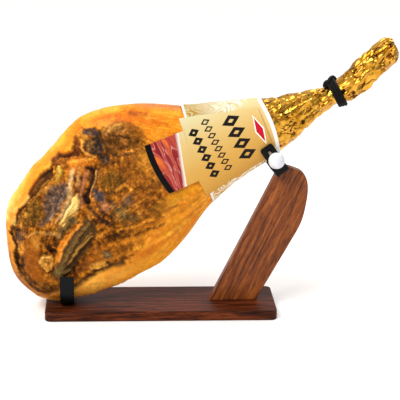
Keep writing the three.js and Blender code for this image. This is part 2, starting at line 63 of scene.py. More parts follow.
# Helpers for objects and materials
def addObject(name, data):
    holder = bpy.data.objects.new(name, data)
    bpy.context.scene.collection.objects.link(holder)
    return holder


def colour(code):
    # Colours are picked as sRGB hex values, and shaders take linear ones
    channels = [int(code[i:i + 2], 16) / 255 for i in (1, 3, 5)]
    linear = [c / 12.92 if c <= 0.04045 else ((c + 0.055) / 1.055) ** 2.4 for c in channels]
    return (*linear, 1.0)


def rampColour(shade):
    # A stop of a ramp is a hex code, a grey, or linear values as they are
    if isinstance(shade, str):
        return colour(shade)
    return shade if isinstance(shade, tuple) else (shade, shade, shade, 1)


def perMetre(size):
    # A pattern's scale from the size of its marks in mm
    return 1 / (size * millimetre)


def connect(tree, node, inputs):
    # A socket is linked, and any other value is set on the input itself
    for key, value in inputs.items():
        if isinstance(value, bpy.types.NodeSocket):
            tree.links.new(value, node.inputs[key])
        else:
            node.inputs[key].default_value = value


def addNode(tree, kind, inputs=None, stops=None, **settings):
    # One shader node with its settings, its input values or links, and its colour ramp
    node = tree.nodes.new("ShaderNode" + kind)
    for key, value in settings.items():
        setattr(node, key, value)
    connect(tree, node, inputs or {})
    if stops:
        elements = node.color_ramp.elements
        while len(elements) < len(stops):
            elements.new(1)
        for element, (place, shade) in zip(elements, stops):
            element.position = place
            element.color = rampColour(shade)
    return node


def newMaterial(name):
    material = bpy.data.materials.new(name)
    material.use_nodes = True
    tree = material.node_tree
    tree.nodes.clear()
    output = tree.nodes.new("ShaderNodeOutputMaterial")
    shader = tree.nodes.new("ShaderNodeBsdfPrincipled")
    tree.links.new(shader.outputs["BSDF"], output.inputs["Surface"])
    coordinates = addNode(tree, "TexCoord").outputs["Object"]
    return material, tree, shader, coordinates


def finishPiece(mesh, name, body, node, material):
    # A mesh becomes a piece that rides on a body and stands for a CAD node
    mesh.polygons.foreach_set("use_smooth", [True] * len(mesh.polygons))
    mesh.materials.append(material)
    piece = addObject(name, mesh)
    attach(piece, body)
    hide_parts(node)
    return piece


# Helpers for meshes
def fromBmesh(shape, name):
    mesh = bpy.data.meshes.new(name)
    shape.to_mesh(mesh)
    shape.free()
    return mesh


def bevelEdges(shape, edges, offset, segments):
    bmesh.ops.bevel(shape, geom=edges, offset=offset, affect="EDGES", segments=segments,
                    profile=0.5, material=-1)


def pointOutwards(mesh, middle):
    # The faces of an open sheet turn away from the middle
    facing = sum((face.center - middle).dot(face.normal) * face.area for face in mesh.polygons)
    if facing < 0:
        mesh.flip_normals()


def bakePiece(piece):
    # The piece's modifiers become its mesh
    depsgraph = bpy.context.evaluated_depsgraph_get()
    mesh = bpy.data.meshes.new_from_object(piece.evaluated_get(depsgraph))
    mesh.name = piece.name
    bpy.data.objects.remove(piece)
    return mesh


def rolledMesh(name, points, attributes, closed=True):
    # A grid of faces with its vertices moved to the given rows of points. Its seam and poles are merged.
    seamGap = 2e-7  # metres
    rows, columns = points.shape[:2]
    steps = columns if closed else columns - 1
    shape = bmesh.new()
    bmesh.ops.create_grid(shape, x_segments=steps, y_segments=rows - 1, size=1)
    mesh = fromBmesh(shape, name)
    flat = np.empty(len(mesh.vertices) * 3)
    mesh.vertices.foreach_get("co", flat)
    flat = flat.reshape(-1, 3)
    column = np.rint((flat[:, 0] + 1) / 2 * steps).astype(int) % columns
    row = np.rint((flat[:, 1] + 1) / 2 * (rows - 1)).astype(int)
    mesh.vertices.foreach_set("co", points[row, column].ravel())
    for key, values in attributes.items():
        picked = values[row, column]
        if picked.ndim == 2:
            layer = mesh.color_attributes.new(name=key, type="FLOAT_COLOR", domain="POINT")
            layer.data.foreach_set("color", np.c_[picked, np.ones(len(picked))].ravel())
        else:
            layer = mesh.attributes.new(name=key, type="FLOAT", domain="POINT")
            layer.data.foreach_set("value", picked)
    shape = bmesh.new()
    shape.from_mesh(mesh)
    bmesh.ops.remove_doubles(shape, verts=shape.verts, dist=seamGap)
    bmesh.ops.recalc_face_normals(shape, faces=shape.faces)
    shape.to_mesh(mesh)
    shape.free()
    return mesh


# Helpers for fields of numbers
def ease(low, high, value):
    share = np.clip((np.asarray(value, float) - low) / (high - low), 0, 1)
    return share * share * (3 - 2 * share)


def noiseAt(points, grain, detail, shift):
    # Repeatable noise of about -1 to 1, with lumps of the given size in mm
    smoothness, octaveStep = 0.8, 2.0
    move = Vector((shift, shift * 1.7, -shift))
    flat = points.reshape(-1, 3) / grain
    values = [noise.fractal(Vector(p) + move, smoothness, octaveStep, detail) for p in flat]
    return np.array(values).reshape(points.shape[:-1])


def even(field):
    return (field - field.mean()) / field.std()


def withEnds(field):
    # The first and the last row twice
    return np.concatenate([field[:1], field, field[-1:]])


def blur(field, passes):
    # Rows end, and columns run round
    for _ in range(passes):
        field = (np.roll(field, 1, 1) + 2 * field + np.roll(field, -1, 1)) / 4
        rows = withEnds(field)
        field = (rows[:-2] + 2 * rows[1:-1] + rows[2:]) / 4
    return field


def between(table, row, column):
    # A table's value between its cells. Rows end, and columns run round.
    row = np.clip(row, 0, len(table) - 1.001)
    i, k = row.astype(int), column.astype(int)
    down, along = row - i, column - k
    k, j = k % table.shape[1], (k + 1) % table.shape[1]
    return ((table[i, k] * (1 - along) + table[i, j] * along) * (1 - down)
            + (table[i + 1, k] * (1 - along) + table[i + 1, j] * along) * down)


def roundTurns(count):
    return np.arange(count) / count * 2 * math.pi


# Camera
view = {
    "place": (-0.07822, -2.66296, 0.91927),
    "elevation": 15,
    "turn": 3.2,
    "roll": 0.6,
    "focalPixels": 1534,  # for an image 400 pixels wide
    "imagePixels": 400,
    "sensor": 36,
    "farthest": 100,  # metres
}


def makeCamera():
    elevation, turn, roll = (math.radians(view[k]) for k in ("elevation", "turn", "roll"))
    forward = Vector((
        math.sin(turn) * math.cos(elevation),
        math.cos(turn) * math.cos(elevation),
        -math.sin(elevation),
    ))
    level = Vector((math.cos(turn), -math.sin(turn), 0))
    rise = level.cross(forward)
    right = level * math.cos(roll) + rise * math.sin(roll)
    up = rise * math.cos(roll) - level * math.sin(roll)
    camera = bpy.data.cameras.new("camera")
    camera.sensor_width = view["sensor"]
    camera.lens = view["focalPixels"] / view["imagePixels"] * view["sensor"]
    camera.clip_end = view["farthest"]
    eye = addObject("camera", camera)
    axes = Matrix((right, up, -forward)).transposed().to_4x4()
    eye.matrix_world = Matrix.Translation(view["place"]) @ axes
    bpy.context.scene.camera = eye


makeCamera()
print("camera placed")


# The leg's own frame
# s runs from the hip end to the hoof, n across it in the plane of the board, y through it, in mm.
leg = {
    "start": (-268, 111),
    "angle": 27,
    "hipEnd": -16,
    "hipRounding": 76,
    "wrapStart": 480,
    "hoofEnd": 777,
    "restHeight": 21.6,
    "gap": 0.3,
    "castFrom": 250,  # from the centre line, outside the leg
    # place, centre of the section across and through the leg, its width over its thickness
    "centre": [
        (-16, -39.5, 0, 2.0), (25, -23.5, -1, 2.1), (60, -15.5, -4, 2.1), (100, -8, -7, 2.1),
        (150, 0, -8, 2.2), (225, 12.5, -8, 2.2), (300, 19, -7, 2.0), (350, 20, -6, 1.9), (400, 14, -4, 1.7),
        (450, 8, -2, 1.6), (500, 0, 0, 1.5), (550, -4, 0, 1.35), (600, -4, 0, 1.15), (634, -4.5, 0, 1.05),
        (658, -5.5, 0, 1.1), (692, 0, 0, 1.15), (722, 9, 0, 1.15), (750, 17.5, 0, 1.2), (777, 24, 0, 1.2),
    ],
}
legTurn = math.radians(leg["angle"])


def fromLeg(s, n, y):
    # Millimetres in the leg's frame to metres in the part's
    s, n, y = np.broadcast_arrays(s, n, y)
    x = leg["start"][0] + s * math.cos(legTurn) - n * math.sin(legTurn)
    z = leg["start"][1] + s * math.sin(legTurn) + n * math.cos(legTurn)
    return np.stack([x, y, z], -1) * millimetre


def legCentre(s, column):
    places = [row[0] for row in leg["centre"]]
    return np.interp(s, places, [row[column] for row in leg["centre"]])


def solidTree(*nodes):
    solids = bmesh.new()
    for node in nodes:
        solids.from_mesh(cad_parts[node].data)
    bmesh.ops.remove_doubles(solids, verts=solids.verts, dist=1e-6)
    tree = BVHTree.FromBMesh(solids)
    solids.free()
    return tree


legTree = solidTree("ham", "foil_wrap")


def readLeg(places, turns, passes):
    # Rays from outside find how far the solid's skin lies from the centre line. Blurring the
    # distances rounds its facets off. Gives s, n, y and the outward direction at every point.
    centreN, centreY, ratio = (legCentre(places, column)[:, None] for column in (1, 2, 3))
    across, out = np.cos(turns) * ratio, np.broadcast_to(np.sin(turns), (len(places), len(turns)))
    length = np.hypot(across, out)
    across, out = across / length, out / length
    s = np.broadcast_to(places[:, None], across.shape)
    far = leg["castFrom"]
    start = fromLeg(s, centreN + far * across, centreY - far * out)
    towards = fromLeg(s, centreN, centreY * np.ones_like(s)) - start
    reach = np.zeros(s.shape)
    for i in range(s.shape[0]):
        for k in range(s.shape[1]):
            hit = legTree.ray_cast(Vector(start[i, k]), Vector(towards[i, k]))[3]
            reach[i, k] = 0 if hit is None else far - hit / millimetre
    reach = blur(reach, passes)
    return s, centreN + reach * across, centreY - reach * out, across, out


def closeEnds(points, start, end):
    # Rows that shrink to a point close the two ends
    first = np.broadcast_to(fromLeg(*start), points[:1].shape)
    last = np.broadcast_to(fromLeg(*end), points[:1].shape)
    return np.concatenate([first, points, last])


# Painting in the leg's frame
def lineDistance(s, n, points):
    best = np.full(s.shape, np.inf)
    for (s0, n0), (s1, n1) in zip(points[:-1], points[1:]):
        ds, dn = s1 - s0, n1 - n0
        share = np.clip(((s - s0) * ds + (n - n0) * dn) / (ds * ds + dn * dn), 0, 1)
        best = np.minimum(best, np.hypot(s - s0 - share * ds, n - n0 - share * dn))
    return best


def insideDistance(s, n, outline):
    # The distance into an outline, negative outside it
    inside = np.zeros(s.shape, bool)
    for (s0, n0), (s1, n1) in zip(outline, outline[1:] + outline[:1]):
        if n0 != n1:
            crosses = ((n0 > n) != (n1 > n)) & (s < (s1 - s0) * (n - n0) / (n1 - n0) + s0)
            inside ^= crosses
    distance = lineDistance(s, n, outline + outline[:1])
    return np.where(inside, distance, -distance)


def ovalWeight(s, n, centre, size, turn, soft):
    angle = math.radians(turn)
    ds, dn = s - centre[0], n - centre[1]
    u = (ds * math.cos(angle) + dn * math.sin(angle)) / size[0]
    v = (dn * math.cos(angle) - ds * math.sin(angle)) / size[1]
    return 1 - ease(1 - soft, 1 + soft, np.hypot(u, v))


def strokeWeight(s, n, points, halfWidth, soft):
    return 1 - ease(halfWidth * (1 - soft), halfWidth * (1 + soft), lineDistance(s, n, points))


def mixTint(tint, code, weight):
    return tint + (np.array(colour(code)[:3]) - tint) * np.clip(weight, 0, 1)[..., None]


def shadeRamp(value, stops):
    places = [place for place, _ in stops]
    shades = np.array([colour(code)[:3] for _, code in stops])
    return np.stack([np.interp(value, places, shades[:, k]) for k in range(3)], -1)


# The ham
ham = {
    "hipSteps": 92,
    "rowGap": 1.45,
    "coveredFrom": 392,  # under the sleeve the rows may lie further apart
    "coveredGap": 5.0,
    "columns": 280,
    "frontDenser": 0.5,
    "blurPasses": 16,
    "reliefFades": (355, 385),  # under the sleeve
    "reliefSinks": (300, 335, 0.85),  # the same under the label, and how much of it goes
    "hipFade": 12,
    "fat": "#F9A62E",
    "fatDeep": "#DE7A16",
    "fatRed": "#D95F12",
    "fatPale": "#F9B03C",
    "skin": "#DB9430",
    "skinDark": "#A9621A",
    "leanShades": [(-2.0, "#2C1605"), (-0.9, "#5C3309"), (0.0, "#82490D"), (1.0, "#9E5E16"),
                   (2.2, "#B87A2C")],
    "leanDepth": 1.2,
    "depthGrain": 0.45,  # below 1 the mottling runs longer round the rim than along the face
    # grain in mm, octaves and shift of each noise: wide, middle, fine, patch, and two for bending places
    "noises": [(26, 3, 3.1), (9, 3, 7.7), (3.4, 2, 12.3), (12, 3, 52.0), (15, 3, 21.0), (15, 3, 33.0)],
    "mottle": 0.14,
    "fatMottle": 0.05,
    "blotches": 0.16,
    "surfaces": {
        "smooth": ("bone", "lump", "lowBulge", "orangeBand", "leaf"),
        "rough": ("knuckle", "purplePatch", "darkRing"),
        "blotchy": ("knuckle", "purplePatch", "darkRing", "bladeBand", "olivePatch"),
    },
    "calmMeat": ((165, -68), (58, 24), 6, 0.5),  # centre, half sizes, turn, softness
    "hollowPasses": 6,
    # how strongly painted shade darkens the hollows of the relief
    "paintedHollowShade": 0.4,
    "fatFrom": (200, 260),  # along the leg the face gives way to the fat of the shank
    "upperFat": (200, 250),
    "leanFrom": (-3, 4),  # across the edge of the lean
    # where the face, what is drawn over its rim, and the skin behind set in, by how far they face the viewer
    "faceFrom": (0.0, 0.3),
    "seenFrom": (-0.2, 0.15),
    "skinFrom": (0.1, 0.6),
    # how far noise bends places: large lumps, fine ones along the leg and middling ones across it
    "rimWarp": (1.3, 0.25, 0.3),
    "leanWarp": (2.3, 0.25, 0.3),
    "formWarp": (0.8, 0.1, 0.1),
    "hintCore": 120 ** 0.5,  # nearer than this a hint of the fibres' lie gets no stronger
    "fibreWidth": 3.0,
    "fibreReach": 14,  # how far a fibre is smeared to each side
    "fibreSamples": 5,
    "fibreShift": 41.0,
    "boxGap": 0.2,
    "grain": 3.03,
    "pores": 1.111,  # real ones are too fine to show
}

leanOutline = [
    (18, 30), (22, 44), (37, 58), (57, 73), (75, 81), (96, 100), (119, 114), (137, 118), (150, 124),
    (169, 130), (183, 126), (196, 136), (200, 150), (214, 156), (229, 154), (241, 147), (255, 135),
    (276, 135), (295, 128), (311, 117), (322, 98), (330, 60), (325, 20), (305, -20), (270, -60),
    (225, -84), (188, -99), (164, -100), (145, -95), (97, -98), (48, -97), (27, -97), (12, -84),
    (6, -66), (1, -44), (-2, -26), (3, -6), (15, 14),
]

# Which way the fibres lie: place, and degrees from the leg's axis
fibreLie = [
    (120, -40, 32), (60, -60, 42), (150, 60, 42), (180, 70, 46), (100, 60, 40), (250, 0, 0),
    (280, -40, 12), (250, -100, 25), (200, -20, 12), (10, -20, 88), (30, 30, 65), (60, 75, 38),
    (130, 115, 15), (330, 110, -25), (245, 90, 60), (280, 140, -5), (315, 90, -60), (200, 130, 30),
    (150, -90, 5), (60, -95, -8), (190, 20, 40), (230, 40, 75), (30, -50, 60),
]

# Ovals of the rim: place, half sizes, turn in degrees, colour, softness, strength
fatSpots = {
    # the next two are partly the fat's own pale colour and partly painted light on the upper left of the rim,
    # where the light falls
    "leftRimPaleAndLit": ((24, 72), (74, 56), 50, "#FFD472", 0.6, 0.95),
    "upperRimPaleAndLit": ((112, 126), (74, 24), 26, "#FFC044", 0.5, 0.85),
    "topRim": ((215, 158), (50, 14), 4, "#FDA82A", 0.6, 0.8),
    # painted shade on the lower left of the rim
    "lowerLeftRimShade": ((-2, -75), (26, 34), 0, "#C07C2C", 0.6, 0.9),
    "bottomRim": ((90, -114), (95, 18), 0, "#E2A040", 0.6, 0.8),
    "upperRightFat": ((325, 118), (90, 40), -22, "#E58516", 0.5, 0.9),
    "upperRightAmber": ((334, 102), (24, 13), -22, "#C96E06", 0.8, 0.8),
    "upperRightGlow": ((352, 82), (20, 9), -18, "#D47E10", 0.8, 0.7),
    "lowerRightFat": ((290, -45), (105, 48), 25, "#B86C0C", 0.5, 0.92),
    "lowerRightGlow": ((300, -64), (60, 11), 28, "#D0820E", 0.7, 0.75),
    "lowerAmber": ((196, -94), (60, 15), 10, "#CE7C1A", 0.6, 0.8),
}

# Fields of the face: outline, softness in mm, colour, strength, rise in mm
faceFields = {
    "knuckle": ([(258, 133), (278, 134), (299, 123), (312, 102), (311, 80), (297, 68), (270, 72), (251, 87),
                 (243, 105), (248, 122)], 7, "#6C4012", 0.85, 2.5),
    "ochre": ([(201, 151), (218, 151), (226, 139), (225, 127), (212, 130), (204, 138), (196, 141)],
              3, "#C07C2A", 0.85, 1.2),
    "purplePatch": ([(221, 152), (240, 146), (247, 134), (238, 129), (227, 136), (219, 144)],
                    2.5, "#44342F", 0.92, 0.3),
    "darkRing": ([(238, 129), (243, 110), (234, 97), (220, 98), (207, 111), (204, 122), (217, 130)],
                 3, "#33291F", 0.85, 1),
    "orangeZone": ([(176, 117), (206, 109), (225, 89), (209, 87), (192, 81), (175, 86), (164, 99)],
                   6, "#C6701C", 0.75, 1.5),
    "leftWedge": ([(143, 115), (140, 100), (123, 93), (102, 82), (79, 80), (83, 92), (101, 105), (124, 114)],
                  2.5, "#472A10", 0.92, -2.5),
    "lump": ([(156, 113), (159, 103), (153, 94), (141, 87), (134, 88), (143, 99), (151, 107)],
             2.5, "#BC8C30", 0.92, 2.5),
    "olivePatch": ([(72, 80), (95, 77), (99, 60), (88, 45), (68, 35), (50, 39), (40, 52), (54, 71)],
                   4, "#6E4816", 0.85, 0.8),
    "bladeBand": ([(152, 82), (153, 70), (138, 59), (123, 49), (111, 40), (93, 31), (77, 27), (74, 35),
                   (91, 44), (98, 60), (106, 76), (119, 86), (134, 84)], 4, "#57463C", 0.85, -2.5),
    "beigeSide": ([(168, 92), (160, 74), (152, 52), (138, 36), (117, 27), (100, 22), (120, 38), (140, 56),
                   (154, 74)], 5, "#B08C5C", 0.75, 0.5),
    "bone": ([(163, 56), (158, 36), (146, 24), (131, 17), (112, 12), (106, 17), (124, 30), (144, 44)],
             1.8, "#F4CC70", 0.98, 2),
    "lowBulge": ([(48, 22), (64, 23), (64, 7), (58, -8), (44, -23), (37, -44), (35, -64), (24, -71),
                  (14, -60), (11, -41), (16, -19), (31, 4)], 4, "#8C4C10", 0.85, 2.2),
    "mound": ([(50, 20), (65, 16), (63, 2), (54, -8), (46, 2)], 4, "#BC7A2A", 0.8, 1),
    "flake": ([(43, -24), (56, -18), (68, -27), (70, -38), (59, -50), (47, -51), (40, -38)],
              2.4, "#B67C30", 0.9, 2.2),
    "orangeBand": ([(118, -8), (103, -19), (82, -37), (67, -57), (60, -57), (67, -41), (80, -24), (92, -13),
                    (106, -6)], 2, "#C9741C", 0.92, 1.2),
    "leaf": ([(160, 10), (164, -13), (158, -26), (144, -35), (125, -50), (102, -60), (79, -70), (62, -73),
              (59, -59), (66, -46), (82, -34), (104, -19), (123, -6), (142, 4)], 2.6, "#443019", 0.93, 2.2),
}

# Ovals of the face: place, half sizes, turn in degrees, colour, softness, strength, rise in mm
faceSpots = {
    "leanMiddle": ((268, 25), (58, 66), 0, "#8A5018", 0.6, 0.55, 0),
    "knuckleDark": ((260, 108), (16, 13), -20, "#46290C", 0.9, 0.8, -0.4),
    "knuckleLight": ((274, 128), (20, 6), -8, "#A0702C", 0.7, 0.8, 0.6),
    "knuckleMiddle": ((286, 106), (10, 14), 0, "#98602A", 0.9, 0.55, 0.6),
    "knuckleRight": ((300, 90), (9, 12), 0, "#4E300E", 0.9, 0.6, 0),
    "darkSpot": ((234, 87), (8, 9), 0, "#332B22", 0.5, 0.9, -0.8),
    "blueGrey": ((194, 34), (9, 11), 20, "#32323A", 0.6, 0.88, -0.5),
    "oliveDisc": ((224, 45), (21, 20), 0, "#684414", 0.5, 0.85, 1.5),
    "discShade": ((241, 38), (6, 15), 0, "#4A3010", 0.7, 0.8, -0.3),
    "greyA": ((234, 2), (12, 8), 20, "#514638", 0.8, 0.75, -0.3),
    "greyB": ((214, -13), (12, 12), 0, "#7C6434", 0.8, 0.7, 0),
    "greyC": ((228, -33), (16, 7), 10, "#5E4826", 0.8, 0.7, -0.4),
    "clusterPink": ((196, 10), (8, 9), 0, "#A87050", 0.8, 0.6, 0.4),
    "olivePatchShade": ((78, 52), (10, 12), 0, "#50380E", 0.8, 0.6, -0.3),
    "leftGrey": ((33, 28), (14, 8), 40, "#6A503E", 0.9, 0.55, -0.3),
    "lowerMeat": ((166, -72), (44, 15), 8, "#925610", 0.7, 0.6, 0.6),
    # painted shade: the hole's near-black colour stands for the shade inside it
    "hole": ((75, -24), (5, 7), 10, "#1C0E06", 0.5, 0.96, -4),
    "bottomLeftBrown": ((26, -70), (30, 14), -30, "#6A4010", 0.7, 0.65, 0),
    "deepOrange": ((27, -48), (9, 16), 0, "#97500C", 0.7, 0.8, 0),
    "lowOrange": ((44, -68), (12, 9), -20, "#A8621A", 0.7, 0.7, 0),
    "leafTip": ((66, -60), (13, 8), 35, "#6C5830", 0.6, 0.8, 0),
    "greenGrey": ((131, 15), (7, 7), 0, "#7E7044", 0.7, 0.8, 0),
    "tanPatch": ((120, 18), (20, 5), 28, "#B88A48", 0.7, 0.75, 0.6),
    "underLeaf": ((136, -66), (26, 9), 14, "#9C5812", 0.6, 0.7, 0.8),
    "yellowLow": ((134, -82), (16, 6), -6, "#DCA040", 0.7, 0.8, 0.5),
    "stain": ((157, -72), (7, 10), 20, "#574934", 0.5, 0.85, -0.4),
    "stainMiddle": ((157, -72), (3, 4), 0, "#9C7A44", 0.7, 0.7, 0.3),
    "brownRight": ((280, -32), (16, 8), 20, "#8A5C18", 0.8, 0.6, 0),
    "oliveRight": ((310, -34), (18, 7), 25, "#94701C", 0.8, 0.6, 0),
    "scratch": ((113, 123), (4, 2), 20, "#C8741E", 0.5, 0.8, -0.4),
}

